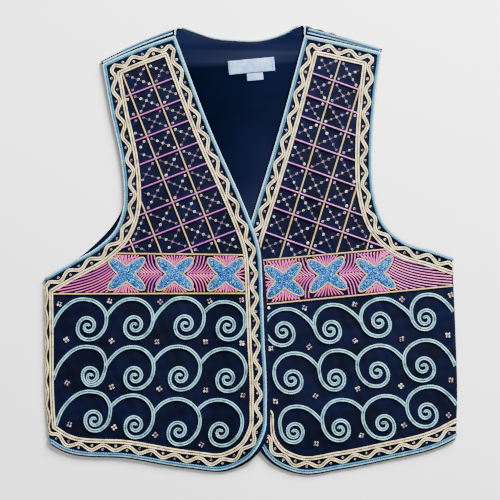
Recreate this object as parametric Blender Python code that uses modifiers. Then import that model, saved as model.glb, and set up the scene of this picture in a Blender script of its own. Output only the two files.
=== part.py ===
"""An embroidered folk vest laid flat on a table, front up, with the right front lapped over the left.

Metres, +Z up, +Y towards the collar. The tables below are in millimetres and MM turns them to metres.
The origin is on the table under the middle of the vest. Right and left are the wearer's own, so the
right front lies at -X.
"""

import bmesh
import bpy
import numpy as np
from mathutils.bvhtree import BVHTree

MM = 0.001

# Middle of the whole vest in the frame of the tables, in mm: the part is moved by it once it is built
MIDDLE = (-0.675, -1.215)

# Walls and levels, each measured up from the table
SHELL_WALL = 1.2
LINING_WALL = 1.0
FRONT_WALL = 1.8
SEAM_GAP = 0.3
TRIM_GAP = 0.5
LINING_LEVEL = SHELL_WALL + SEAM_GAP
FRONT_LEVEL = LINING_LEVEL + LINING_WALL + 0.4
FRONT_TOP = FRONT_LEVEL + FRONT_WALL
TIP_LEVEL = 1.0
TIP_DROP_OVER = 34.0

# Folds: a front turns down at its side and ends this far above the table, and the back turns over
# each shoulder in these steps
FOLD_END = 0.8
FOLD_ANGLES = (90, 62, 32, 0)
FOLD_FACET_RISE = 0.4
TURN_RADIUS = FRONT_TOP / 2
TURN_STEPS = 4
SHOULDER_COLUMNS = 8

# Trims: a soutache braid has a low roof section, and a cord is nearly round
BRAID_WIDTH = 5.0
WAVE_WIDTH = 4.0
SCROLL_WIDTH = 4.6
BRAID_HEIGHT = 1.9
CORD_WIDTH = 3.6
CORD_HEIGHT = 3.0
FINE_CORD = 2.0
NECK_CORD = 2.6
STRIP_CORD_SHARE = 0.35
TRIM_CLEAR = 0.8

# The right front laps over the left and has to clear the trims sewn on it
LAP_LIFT = FRONT_WALL + TRIM_GAP + CORD_HEIGHT + 0.7
LAP_REACH = 58.0
LAP_FADE = (-300.0, 62.0)

# Each shoulder folds along a line, and a strip of back cloth comes over it to the seam on the front.
# x and y in mm; strip is its width past the fold at the tip and at the neck, slant how far the neck end
# leans, bulge the bow of the line
SHOULDERS = {
    "right": dict(tip=(-186.3, 232.3), neck=(-86.9, 275.0), strip=(1.8, 5.6), slant=10.9, bulge=2.4),
    "left": dict(tip=(162.2, 247.6), neck=(59.6, 277.7), strip=(1.8, 8.4), slant=9.5, bulge=0.6),
}

# Outlines of the fronts, x and y in mm. The opening runs from the side of the hem round to the neck, and
# CORNER_ROW is its row at the middle of the rounded corner
CORNER_ROW = 5
FRONT_EDGES = {
    "right": dict(
        opening=[(-249.6, -240.6), (-239.0, -247.4), (-150.3, -259.6), (-78.0, -271.6), (-28.8, -274.2),
                 (3.3, -257.5), (21.6, -227.0), (24.0, -190.0), (21.0, -110.0), (17.6, -40.0),
                 (12.2, 0.0), (0.2, 32.4), (-53.3, 156.1)],
        armhole=[(-222.9, -16.4), (-190.0, 2.7), (-168.2, 24.5), (-159.0, 49.0), (-158.0, 79.1),
                 (-161.0, 107.5), (-174.0, 169.7)],
        side=[(-254.4, -100.1), (-253.4, -190.0)],
        underarm=(-255.1, -35.0),
    ),
    "left": dict(
        opening=[(253.4, -234.6), (240.0, -241.6), (163.4, -262.4), (112.0, -272.6), (60.2, -278.5),
                 (22.0, -262.4), (5.8, -239.8), (0.9, -199.0), (-6.6, -112.5), (-13.2, -32.0),
                 (-11.0, 2.0), (0.1, 37.1), (34.8, 150.0)],
        armhole=[(225.8, -1.9), (187.9, 10.6), (163.7, 33.4), (154.0, 60.6), (150.3, 85.0),
                 (149.6, 109.6), (153.9, 185.6)],
        side=[(252.8, -94.8), (255.1, -190.0)],
        underarm=(248.9, -9.9),
    ),
}
INWARD = dict(right=1.0, left=-1.0)

# Outline of the back, x and y in mm: the hem and neck from the right to the left, and each side from the
# hem up past the underarm at UNDERARM_ROW
UNDERARM_ROW = 2
BACK_HEM = [(-246.0, -236.5), (-120.0, -243.5), (0.0, -246.0), (120.0, -241.0), (250.0, -231.0)]
BACK_NECK = [(-86.0, 272.8), (-73.7, 268.4), (-46.8, 259.6), (-20.1, 256.6), (12.9, 256.8), (39.7, 264.8),
             (58.9, 275.4)]
BACK_SIDES = {
    "right": [(-250.0, -191.6), (-251.1, -100.0), (-251.6, -38.0), (-220.1, -15.8), (-191.3, 8.3),
              (-168.6, 33.7), (-158.6, 60.0), (-156.8, 85.0), (-159.8, 110.0), (-172.6, 170.0)],
    "left": [(251.8, -192.8), (249.6, -94.8), (245.4, -12.5), (225.2, -3.6), (187.0, 9.2),
             (162.4, 32.6), (152.6, 60.6), (148.9, 85.0), (148.4, 109.6), (152.7, 185.6)],
}
LINING_INSET = 2.6

# Soft swells of the fronts: middle x and y, half length, half width, direction in degrees, height, in mm
SWELLS = {
    "right": [(-150.0, -130.0, 95.0, 55.0, 80.0, 2.2), (-60.0, -200.0, 80.0, 42.0, 10.0, 1.4),
              (-95.0, 40.0, 90.0, 38.0, 66.0, 1.8), (-200.0, -60.0, 60.0, 34.0, 30.0, 1.5),
              (-128.0, 170.0, 60.0, 30.0, 70.0, 1.0)],
    "left": [(150.0, -120.0, 90.0, 55.0, 95.0, 2.3), (85.0, -205.0, 80.0, 40.0, 170.0, 1.5),
             (80.0, 60.0, 95.0, 36.0, 112.0, 1.7), (205.0, -50.0, 60.0, 34.0, 150.0, 1.6),
             (112.0, 185.0, 55.0, 30.0, 106.0, 1.0)],
}
SWELL_FADE = 40.0

# Border of each front: how far the cord lies from each edge, and the straight braid from the cord. The
# wavy braid swings to and fro between them. Opening distances change by stretches: hem, front edge, neck
CORD_INSET = dict(hem=4.6, front=8.0, neck=3.4, shoulder=3.2, armhole=3.2)
CORD_TO_BRAID = 15.8
CORD_TO_WAVE = 7.4
SIDE_BRAID = 7.4
SIDE_WAVE = 1.4
WAVE_LENGTH = 29.7
WAVE_SWING = 2.7
SIDE_SWING = 0.8
WAVE_POINTS = 4
OPENING_STRETCHES = [(0.0, "hem"), (0.26, "hem"), (0.36, "front"), (0.58, "front"), (0.68, "neck"),
                     (1.0, "neck")]

# Band of four-petalled flowers across the bust: its two fine cords and the middles of the flowers
BAND = {
    "right": dict(top=[(-176.0, -5.4), (-10.1, -7.4)], foot=[(-250.0, -55.6), (-4.3, -54.8)],
                  flowers=[(-154.5, -30.8), (-95.0, -30.8), (-31.4, -31.5)], turn=0.0),
    "left": dict(top=[(4.0, -15.0), (175.0, 0.4)], foot=[(8.0, -69.3), (249.0, -45.7)],
                 flowers=[(153.6, -30.8), (93.4, -31.8), (40.3, -39.1)], turn=5.0),
}
PETAL_REACH = (22.3, 19.2)
PETAL_HALF_WIDTH = 7.0
PETAL_FULLNESS = (2.5, 0.6)
PETAL_POINTS = 3
FLOWER_HEIGHT = 1.5

# Lattice over the upper part: pink cords lie across and gold cords down. Each pink one is given by its y
# at the datum's x and each gold one by its x at the datum's y, with the lean of each set in degrees
LATTICE = {
    "right": dict(datum=(-125.2, 60.6), lean=(21.0, 21.4), gold=[-65.0, -98.4, -137.1],
                  pink=[199.9, 169.7, 140.4, 108.9, 79.0, 46.7, 14.5, -17.8]),
    "left": dict(datum=(97.3, 60.6), lean=(-19.6, -17.0), gold=[57.2, 91.1, 125.2],
                 pink=[209.4, 179.8, 151.5, 120.3, 88.9, 55.5, 26.3]),
}
LATTICE_STEP = 16.0

# Eyes of the running scrolls, three rows from the side towards the opening, x and y in mm
SCROLL_EYES = {
    "right": [[(-202.2, -96.3), (-144.0, -95.3), (-81.6, -94.3), (-29.4, -96.3)],
              [(-198.4, -158.1), (-144.0, -158.1), (-88.4, -158.1), (-30.4, -160.9)],
              [(-194.3, -212.1), (-144.1, -218.8), (-90.0, -225.7), (-38.2, -226.8)]],
    "left": [[(215.3, -86.9), (158.0, -90.8), (98.0, -101.1), (39.3, -102.7)],
             [(212.7, -146.1), (155.6, -152.5), (103.9, -161.4), (50.1, -162.4)],
             [(216.1, -203.2), (163.4, -217.4), (109.3, -223.0), (53.0, -227.3)]],
}
# Radius of a scroll round its eye, mm, against the turn from its crest, degrees
SCROLL_RADII = [(-110, 44.5), (-90, 39.6), (-60, 36.4), (-15, 37.0), (15, 35.2), (45, 30.0), (75, 23.3),
                (105, 18.8), (150, 15.6), (210, 14.1), (270, 11.9), (360, 11.1), (405, 9.7), (450, 7.0),
                (510, 4.8), (580, 3.4)]
FIRST_LEAD_FLARE = 0.065
SCROLL_POINTS = 25

# Woven label and size tab sewn inside the back neck
LABEL_TURN = 5.3
LABELS = {
    "neck_label": dict(middle=(0.2, 226.4), size=(56.9, 16.7, 0.8)),
    "size_tab": dict(middle=(4.6, 213.0), size=(19.8, 8.8, 0.8)),
}


def smooth_line(rows, per_span=16):
    """A cubic curve through the rows: its slope at a row follows the chords on both sides of it."""
    rows = np.array(rows, float)
    reach = reach_along(rows)
    slopes = np.gradient(rows, reach, axis=0)
    span = np.repeat(np.arange(len(rows) - 1), per_span)
    t = np.tile(np.arange(per_span) / per_span, len(rows) - 1)[:, None]
    length = np.diff(reach)[span][:, None]
    line = ((1 + 2 * t) * (1 - t) ** 2 * rows[span] + t ** 2 * (3 - 2 * t) * rows[span + 1]
            + t * (1 - t) ** 2 * length * slopes[span] - t ** 2 * (1 - t) * length * slopes[span + 1])
    return np.concatenate([line, rows[-1:]])


def reach_along(line):
    """Distance from the start of a line to each of its points."""
    return np.concatenate([[0.0], np.cumsum(np.linalg.norm(np.diff(line, axis=0), axis=1))])


def at_fractions(line, fractions):
    """Points of a line at these fractions of its length."""
    reach = reach_along(line)
    wanted = np.asarray(fractions) * reach[-1]
    return np.stack([np.interp(wanted, reach, line[:, k]) for k in range(line.shape[1])], axis=1)


def with_spacing(line, spacing):
    """The line with its points about this far apart."""
    count = max(int(round(reach_along(line)[-1] / spacing)), 2)
    return at_fractions(line, np.linspace(0, 1, count + 1))


def joined(*lines):
    """Lines end to end, without the doubled point where two of them meet."""
    return np.concatenate([lines[0]] + [line[1:] for line in lines[1:]])


def sideways(line, closed=False):
    """Direction square to a line at each point, to its left."""
    if closed:
        run = np.roll(line, -1, axis=0) - np.roll(line, 1, axis=0)
    else:
        run = np.gradient(line, axis=0)
    run = run / np.linalg.norm(run, axis=1, keepdims=True)
    return np.stack([-run[:, 1], run[:, 0]], axis=1)


def distance_to(points, line):
    """Shortest distance from each point to a line of short straight pieces."""
    flat = np.asarray(points, float).reshape(-1, 2)
    start, run = line[:-1], np.diff(line, axis=0)
    share = np.clip(((flat[:, None] - start) * run).sum(2) / (run ** 2).sum(1), 0, 1)
    away = np.linalg.norm(flat[:, None] - (start + share[..., None] * run), axis=2)
    return away.min(1).reshape(np.asarray(points).shape[:-1])


def inside(points, loop):
    """Whether each point lies within a closed loop, by counting the sides that pass to its right."""
    x, y = points[:, :1], points[:, 1:]
    x0, y0 = loop.T
    x1, y1 = np.roll(loop, -1, axis=0).T
    rise = np.where(y1 == y0, 1.0, y1 - y0)
    passes = ((y0 > y) != (y1 > y)) & (x < x0 + (y - y0) / rise * (x1 - x0))
    return passes.sum(1) % 2 == 1


def longest_run(keep):
    """First and last place of the longest unbroken run of True."""
    edges = np.flatnonzero(np.diff(np.concatenate([[0], keep.astype(int), [0]])))
    starts, ends = edges[::2], edges[1::2]
    widest = (ends - starts).argmax()
    return starts[widest], ends[widest] - 1


def ease(share):
    """Smooth step from 0 to 1."""
    share = np.clip(share, 0, 1)
    return share * share * (3 - 2 * share)


def patch(bottom, top, left, right, across, along):
    """Grid between four edges: the two ruled sheets added, less the sheet through the four corners."""
    u = np.asarray(across)[None, :, None]
    v = np.asarray(along)[:, None, None]
    corners = ((1 - u) * (1 - v) * bottom[0] + u * (1 - v) * bottom[-1]
               + (1 - u) * v * top[0] + u * v * top[-1])
    return ((1 - v) * bottom[None] + v * top[None] + (1 - u) * left[:, None] + u * right[:, None] - corners)


def shoulder_line(side, share, inward=0.0):
    """Points along the start of a shoulder's fold, tip to neck, moved inwards by a distance that may vary."""
    row = SHOULDERS[side]
    tip, neck = np.array(row["tip"]), np.array(row["neck"])
    length = np.linalg.norm(neck - tip)
    along = (neck - tip) / length
    outward = np.array([-along[1], along[0]]) * INWARD[side]
    share = np.asarray(share)[:, None]
    bow = row["bulge"] * 4 * share * (1 - share) - TURN_RADIUS
    return tip + along * length * share + outward * (bow - np.asarray(inward).reshape(-1, 1))


def strip_width(side, share):
    """Width past the fold of the strip of back cloth at each share of the shoulder."""
    return np.interp(share, [0.0, 1.0], SHOULDERS[side]["strip"])


def slanted(side, share, step):
    """Shares of the shoulder's length where the strip's row of this step has its points."""
    row = SHOULDERS[side]
    length = np.linalg.norm(np.subtract(row["neck"], row["tip"]))
    return share * (1 - row["slant"] / length * step / (TURN_STEPS + 1))


def front_outline(side):
    """The edges of a front as dense lines, each running on round the piece from the side of the hem."""
    edges = FRONT_EDGES[side]
    share = np.linspace(0, 1, 13)
    seam = shoulder_line(side, slanted(side, share, TURN_STEPS + 1), strip_width(side, share) + SEAM_GAP)
    return dict(
        opening=smooth_line(edges["opening"] + [tuple(seam[-1])]),
        shoulder=seam[::-1],
        armhole=smooth_line([tuple(seam[0])] + edges["armhole"][::-1] + [edges["underarm"]]),
        side=smooth_line([edges["underarm"]] + edges["side"] + [edges["opening"][0]]),
    )


OUTLINES = {side: front_outline(side) for side in FRONT_EDGES}
SHEETS = {}


def corner_of(side):
    """Which point of the dense opening line is the middle of the rounded corner."""
    return CORNER_ROW * (len(OUTLINES[side]["opening"]) - 1) // len(FRONT_EDGES[side]["opening"])


def flat_height(side, plan):
    """Height of a front's outer face before its side is turned down: swells, hem tip and lap."""
    outline = OUTLINES[side]
    rim = np.minimum(distance_to(plan, outline["opening"]), distance_to(plan, outline["armhole"]))
    rim = np.minimum(rim, distance_to(plan, outline["shoulder"]))
    swell = np.zeros(plan.shape[:-1])
    for x, y, half_length, half_width, turn, rise in SWELLS[side]:
        away = plan - np.array([x, y])
        c, s = np.cos(np.radians(turn)), np.sin(np.radians(turn))
        along, across = away[..., 0] * c + away[..., 1] * s, away[..., 1] * c - away[..., 0] * s
        swell += rise * np.exp(-(along / half_length) ** 2 - (across / half_width) ** 2)
    hem = smooth_line(BACK_HEM)
    past_hem = np.interp(plan[..., 0], hem[:, 0], hem[:, 1]) - plan[..., 1]
    height = FRONT_TOP + swell * ease(rim / SWELL_FADE)
    height = height - (FRONT_LEVEL - TIP_LEVEL) * ease((past_hem - 1.0) / TIP_DROP_OVER)
    if side == "right":
        under = OUTLINES["left"]["opening"][corner_of("left"):]
        edge_x = np.interp(plan[..., 1], under[:, 1], under[:, 0])
        fade = ease((plan[..., 1] - LAP_FADE[0]) / LAP_FADE[1])
        height = height + LAP_LIFT * fade * ease(1 + (plan[..., 0] - edge_x) / LAP_REACH)
    return height


def from_fold(side, points):
    """Distance of each point from the line where the side turns down, positive inside it."""
    line = OUTLINES[side]["side"][::-1]
    return (points[..., 0] - np.interp(points[..., 1], line[:, 1], line[:, 0])) * INWARD[side]


def unrolled(side, plan):
    """Plan points with the turned-down side opened out flat, so that a trim keeps its width round the fold."""
    radius = flat_height(side, plan) - FOLD_END
    reach = from_fold(side, plan)
    angle = np.arcsin(np.clip((radius - reach) / radius, 0, 1))
    flat = plan.copy()
    flat[..., 0] -= INWARD[side] * np.where(reach < radius, reach - radius * (1 - angle), 0.0)
    return flat


def facet_rise(side, flat):
    """How far the faces of a front stand above its formula at each point, since flat faces bridge a hollow."""
    height = flat_height(side, flat)
    rise = np.zeros(flat.shape[:-1])
    if side in SHEETS:
        for place in np.ndindex(*rise.shape):
            hit = SHEETS[side].ray_cast((*flat[place], 100.0), (0.0, 0.0, -1.0))[0]
            rise[place] = max(hit.z - height[place], 0.0) if hit else 0.0
        rise = rise + FOLD_FACET_RISE * (from_fold(side, flat) < 2 * FRONT_TOP)
    return rise


def placed(side, flat, rise):
    """Unrolled points put on a front, moved out from its face by a rise, with the side turned down again."""
    height = flat_height(side, flat)
    rise = rise + facet_rise(side, flat)
    radius = height - FOLD_END
    reach = from_fold(side, flat)
    angle = np.clip((radius - reach) / radius, 0, np.pi / 2)
    moved = np.where(reach < radius, radius - reach, 0.0) - (radius + rise) * np.sin(angle)
    x = flat[..., 0] + INWARD[side] * moved
    return np.stack([x, flat[..., 1], FOLD_END + (radius + rise) * np.cos(angle)], axis=-1)


def material(name, colour, roughness):
    """A plain finish in the part's colour."""
    found = bpy.data.materials.new(name)
    found.use_nodes = True
    shader = found.node_tree.nodes["Principled BSDF"]
    shader.inputs["Base Color"].default_value = (*colour, 1.0)
    shader.inputs["Roughness"].default_value = roughness
    return found


def add_mesh(name, points, faces, finish, wall=None):
    """A named object from points in mm and faces, given a wall by Solidify where it is an open sheet."""
    mesh = bpy.data.meshes.new(name)
    mesh.from_pydata((np.asarray(points) * MM).tolist(), [], faces)
    build = bmesh.new()
    build.from_mesh(mesh)
    bmesh.ops.remove_doubles(build, verts=build.verts, dist=0.01 * MM)
    build.to_mesh(mesh)
    build.free()
    mesh.materials.append(FINISHES[finish])
    made = bpy.data.objects.new(name, mesh)
    VEST.objects.link(made)
    if wall:
        solidify = made.modifiers.new("Wall", "SOLIDIFY")
        solidify.thickness = wall * MM
        solidify.offset = -1.0
    return made


def grid_faces(rows, columns, first=0, flip=False):
    """Four-sided faces of a grid of points numbered row by row."""
    faces = []
    for row in range(rows - 1):
        for column in range(columns - 1):
            corner = first + row * columns + column
            face = (corner, corner + 1, corner + columns + 1, corner + columns)
            faces.append(face[::-1] if flip else face)
    return faces


def front_grid(side, across, along):
    """Plan of a front as a grid from hem to armhole and shoulder, its columns running up from the hem."""
    outline = OUTLINES[side]
    split = corner_of(side)
    hem, opening = outline["opening"][:split + 1], outline["opening"][split:]
    tip = 0.68
    upper = across > tip
    top = np.concatenate([at_fractions(outline["armhole"][::-1], across[~upper] / tip),
                          at_fractions(outline["shoulder"][::-1], (across[upper] - tip) / (1 - tip))])
    return patch(at_fractions(hem, across), top, at_fractions(outline["side"][::-1], along),
                 at_fractions(opening, along), across, along)


def make_front(side):
    """One front: embroidered cloth with its own facing, turned down towards the table along the side."""
    fold = (1 - np.sin(np.radians(FOLD_ANGLES))) * (FRONT_TOP - FOLD_END) / 262.0
    across = np.concatenate([fold, np.linspace(0.02, 0.68, 9)[1:], np.linspace(0.68, 1.0, 8)[1:]])
    along = np.concatenate([np.linspace(0.0, 0.12, 7), np.linspace(0.12, 0.5, 7)[1:],
                            np.linspace(0.5, 0.78, 8)[1:], np.linspace(0.78, 1.0, 4)[1:]])
    flat = unrolled(side, front_grid(side, across, along))
    points = placed(side, flat, 0.0)
    corners = grid_faces(len(along), len(across), flip=side == "left")
    add_mesh("front_" + side, points.reshape(-1, 3), corners, "cloth", FRONT_WALL)
    sheet = np.concatenate([flat, flat_height(side, flat)[..., None]], axis=-1)
    SHEETS[side] = BVHTree.FromPolygons(sheet.reshape(-1, 3).tolist(), corners)


def back_outline():
    """Outline of the back, from the right of the hem round, with the start of each shoulder's points."""
    share = np.linspace(0, 1, SHOULDER_COLUMNS)
    right_fold, left_fold = shoulder_line("right", share), shoulder_line("left", share)
    sides = {}
    for side, hem_end, fold in (("right", BACK_HEM[0], right_fold), ("left", BACK_HEM[-1], left_fold)):
        rows = BACK_SIDES[side]
        lower = smooth_line([hem_end] + rows[:UNDERARM_ROW + 1])
        upper = smooth_line(rows[UNDERARM_ROW:] + [tuple(fold[0])])
        sides[side] = joined(with_spacing(lower, 60.0), with_spacing(upper, 15.0))
    hem = with_spacing(smooth_line(BACK_HEM), 60.0)
    neck = with_spacing(smooth_line(BACK_NECK), 14.0)
    rim = joined(hem, sides["left"], left_fold)
    rim = np.concatenate([rim, neck[-2:0:-1], right_fold[::-1], sides["right"][-2:0:-1]])
    return rim, share


def make_back():
    """The outer back, flat on the table, with the strips that turn over the shoulders to the seams."""
    rim, share = back_outline()
    points = [np.concatenate([rim, np.zeros((len(rim), 1))], axis=1)]
    faces = [tuple(range(len(rim)))[::-1]]
    for side in SHOULDERS:
        strip = []
        for step in range(TURN_STEPS + 2):
            angle = np.pi * min(step, TURN_STEPS) / TURN_STEPS
            inward = -TURN_RADIUS * np.sin(angle) * np.ones(len(share))
            if step > TURN_STEPS:
                inward = strip_width(side, share)
            place = shoulder_line(side, slanted(side, share, step), inward)
            height = np.full((len(share), 1), TURN_RADIUS * (1 - np.cos(angle)))
            strip.append(np.concatenate([place, height], axis=1))
        first = sum(len(part) for part in points)
        faces += grid_faces(TURN_STEPS + 2, len(share), first, flip=side == "right")
        points.append(np.concatenate(strip))
    add_mesh("back_shell", np.concatenate(points), faces, "cloth", SHELL_WALL)


def make_lining():
    """The back lining, a little smaller than the back all round, which shows inside the neck."""
    rim = back_outline()[0]
    rim = rim + sideways(rim, closed=True) * LINING_INSET
    points = np.concatenate([rim, np.full((len(rim), 1), LINING_LEVEL + LINING_WALL)], axis=1)
    add_mesh("back_lining", points, [tuple(range(len(rim)))], "lining", LINING_WALL)


ROOF = [(-0.5, 0.0), (0.0, 1.0), (0.5, 0.0)]
ROUND = [(0.0, 0.0), (-0.5, 0.45), (0.0, 1.0), (0.5, 0.45)]


def bent_over_fold(side, flat, closed):
    """The line with more points where it runs over the fold at the side, so that it bends with the cloth."""
    reach = from_fold(side, flat)
    rows = []
    for k in range(len(flat)):
        rows.append(flat[k:k + 1])
        after = (k + 1) % len(flat)
        if (after or closed) and min(reach[k], reach[after]) < 10.0 and abs(reach[k] - reach[after]) > 1.5:
            rows.append(flat[k] + (flat[after] - flat[k]) * np.array([[0.25], [0.5], [0.75]]))
    return np.concatenate(rows)


def lay(name, side, line, finish, width, height, section=ROOF, closed=False):
    """A trim laid on a front: its section is carried along the line and moved out from the cloth."""
    flat = bent_over_fold(side, unrolled(side, line[:-1] if closed else line), closed)
    square = sideways(flat, closed)
    rings = [placed(side, flat + square * across * width, TRIM_GAP + up * height) for across, up in section]
    sides, count = len(rings), len(flat)
    faces = []
    for step in range(count if closed else count - 1):
        for k in range(sides):
            here, there = step * sides, (step + 1) % count * sides
            faces.append((here + k, there + k, there + (k + 1) % sides, here + (k + 1) % sides))
    if not closed:
        faces.append(tuple(range(sides)))
        faces.append(tuple(range((count - 1) * sides, count * sides))[::-1])
    return add_mesh(name, np.stack(rings, axis=1).reshape(-1, 3), faces, finish)


def crossing(first, second):
    """Where two lines cross last, as positions along each, counted in points."""
    a, r = first[:-1, None], np.diff(first, axis=0)[:, None]
    b, s = second[None, :-1], np.diff(second, axis=0)[None]
    spread = r[..., 0] * s[..., 1] - r[..., 1] * s[..., 0]
    spread = np.where(np.abs(spread) < 1e-12, 1e-12, spread)
    gap = b - a
    t = (gap[..., 0] * s[..., 1] - gap[..., 1] * s[..., 0]) / spread
    w = (gap[..., 0] * r[..., 1] - gap[..., 1] * r[..., 0]) / spread
    i, j = np.argwhere((t >= 0) & (t < 1) & (w >= 0) & (w < 1))[-1]
    return i + t[i, j], j + w[i, j]


def between(line, start, end):
    """The stretch of a line between two positions counted in points."""
    inner = np.arange(int(np.floor(start)) + 1, int(np.ceil(end)))
    wanted = np.concatenate([[start], inner, [end]])
    index = np.arange(len(line))
    return np.stack([np.interp(wanted, index, line[:, k]) for k in range(2)], axis=1)


def cord_inset(name, count):
    """Inset of the edge cord at each of this many even steps along an edge."""
    if name != "opening":
        return np.full(count, CORD_INSET[name])
    shares = [share for share, _ in OPENING_STRETCHES]
    return np.interp(np.linspace(0, 1, count), shares, [CORD_INSET[part] for _, part in OPENING_STRETCHES])


def border_lines(side, from_cord, side_inset=None):
    """Edges of a front moved in by the cord's inset and more, each cut where it meets the next.

    With a side inset the lines go all round; without one they end at the side.
    """
    names = ["opening", "shoulder", "armhole"] + (["side"] if side_inset else [])
    steps, beyond = 260, 20
    moved = []
    for name in names:
        line = at_fractions(OUTLINES[side][name], np.linspace(0, 1, steps))
        inset = np.full(steps, side_inset) if name == "side" else cord_inset(name, steps) + from_cord
        line = line + sideways(line) * INWARD[side] * inset[:, None]
        before = line[0] - (line[1] - line[0]) * np.arange(beyond, 0, -1)[:, None]
        after = line[-1] + (line[-1] - line[-2]) * np.arange(1, beyond + 1)[:, None]
        moved.append(np.concatenate([before, line, after]))
    cuts = [[beyond + 1.0, len(line) - beyond - 2.0] for line in moved]
    for k in range(len(moved) if side_inset else len(moved) - 1):
        following = (k + 1) % len(moved)
        cuts[k][1], cuts[following][0] = crossing(moved[k], moved[following])
    return [between(line, *cut) for line, cut in zip(moved, cuts)]


def braid_line(side):
    """Centre line of the straight braid: all round the right front, and open at the left front's side."""
    return joined(*border_lines(side, CORD_TO_BRAID, SIDE_BRAID if side == "right" else None))


def wave_line(side):
    """Centre line of the wavy braid: a cosine swing across the border, small at each corner."""
    names = ["opening", "shoulder", "armhole", "side"]
    waves = []
    lines = border_lines(side, CORD_TO_WAVE, SIDE_WAVE if side == "right" else None)
    for name, line in zip(names, lines):
        count = max(int(round(reach_along(line)[-1] / WAVE_LENGTH)), 2) * WAVE_POINTS
        base = at_fractions(line, np.linspace(0, 1, count + 1))
        step = np.arange(count + 1)
        swing = (SIDE_SWING if name == "side" else WAVE_SWING) * np.cos(2 * np.pi * (step + 0.5) / WAVE_POINTS)
        swing = swing * np.sqrt(2) * np.clip(np.minimum(step, count - step), 0, 1)
        waves.append(base - sideways(base) * INWARD[side] * swing[:, None])
    return joined(*waves)


def make_border(side):
    """Cord at the edge, straight braid inside it and wavy braid between them, round one front."""
    closed = side == "right"
    cord = joined(*[with_spacing(line, 14.0) for line in border_lines(side, 0.0)])
    lay("edge_cord_" + side, side, cord, "blue_cord", CORD_WIDTH, CORD_HEIGHT, ROUND)
    lines = border_lines(side, CORD_TO_BRAID, SIDE_BRAID if closed else None)
    braid = joined(*[with_spacing(line, 16.0) for line in lines])
    lay("straight_braid_" + side, side, braid, "cream_braid", BRAID_WIDTH, BRAID_HEIGHT, closed=closed)
    lay("wavy_braid_" + side, side, wave_line(side), "cream_braid", WAVE_WIDTH, BRAID_HEIGHT, closed=closed)


def scroll_line(eye, side, first):
    """Centre line of one scroll: its radius round the eye goes by the table, as it turns over its crest."""
    radii = smooth_line(SCROLL_RADII)
    turned = np.arange(radii[0, 0], radii[-1, 0], 1.0)
    radius = np.interp(turned, radii[:, 0], radii[:, 1])
    if first:
        radius = radius + FIRST_LEAD_FLARE * np.maximum(-turned, 0.0)
    angle = np.radians(90.0 - turned)
    return np.array(eye) + np.stack([INWARD[side] * np.cos(angle), np.sin(angle)], axis=1) * radius[:, None]


def make_scrolls(side):
    """The running scrolls below the band, each its own length of soutache that starts beside the last.

    Where one comes too near the border, the band or the row above, it is drawn in towards its eye.
    """
    border = braid_line(side)
    foot = np.array(BAND[side]["foot"])
    above = []
    for row, eyes in enumerate(SCROLL_EYES[side], 1):
        laid = []
        for place, eye in enumerate(eyes, 1):
            line = scroll_line(eye, side, not laid)
            crest = len(line) // 10
            for _ in range(30):
                near = too_near(line, border, foot, above)
                near[:crest] = False
                line[near] = eye + (line[near] - eye) * 0.985
            keep = ~too_near(line, border, foot, above + laid[-1:])
            start, end = longest_run(keep)
            line = line[np.linspace(start, end, SCROLL_POINTS).round().astype(int)]
            laid.append(line)
            lay("scroll_%s_%d%d" % (side, row, place), side, line, "aqua_braid", SCROLL_WIDTH, BRAID_HEIGHT)
        above = laid


def too_near(line, border, foot, scrolls):
    """Whether each point of a scroll touches the border, the cord under the flowers or another scroll."""
    near = ~inside(line, border) | (distance_to(line, border) < (SCROLL_WIDTH + BRAID_WIDTH) / 2 + TRIM_CLEAR)
    near |= distance_to(line, foot) < (SCROLL_WIDTH + FINE_CORD) / 2 + TRIM_CLEAR
    for other in scrolls:
        near |= distance_to(line, other) < SCROLL_WIDTH + TRIM_CLEAR
    return near


def flower_rim():
    """Outline of a flower about its middle: four blunt leaves towards the corners."""
    reach = np.hypot(*PETAL_REACH)
    power, blunt = PETAL_FULLNESS
    share = np.linspace(0.01, 1.0, 400)
    half_width = PETAL_HALF_WIDTH * (1 - share ** power) ** blunt
    points = []
    for quarter in range(4):
        sign = np.array([(1, 1), (-1, 1), (-1, -1), (1, -1)][quarter])
        axis = np.array(PETAL_REACH) / reach * sign
        square = np.array([-axis[1], axis[0]])
        notches = []
        for limit in (np.array([0.0, sign[1]]), np.array([sign[0], 0.0])):
            side = np.sign(limit @ square)
            edge = axis * reach * share[:, None] + square * side * half_width[:, None]
            met = np.flatnonzero((edge * (limit == 0)).sum(1) * sign[limit == 0][0] > 0)[0]
            notches.append(edge[np.linspace(met, len(share) - 1, PETAL_POINTS + 1).astype(int)])
        order = notches if quarter in (1, 3) else notches[::-1]
        points.append(np.concatenate([order[0], order[1][::-1][1:-1]]))
    return np.concatenate(points)


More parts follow.
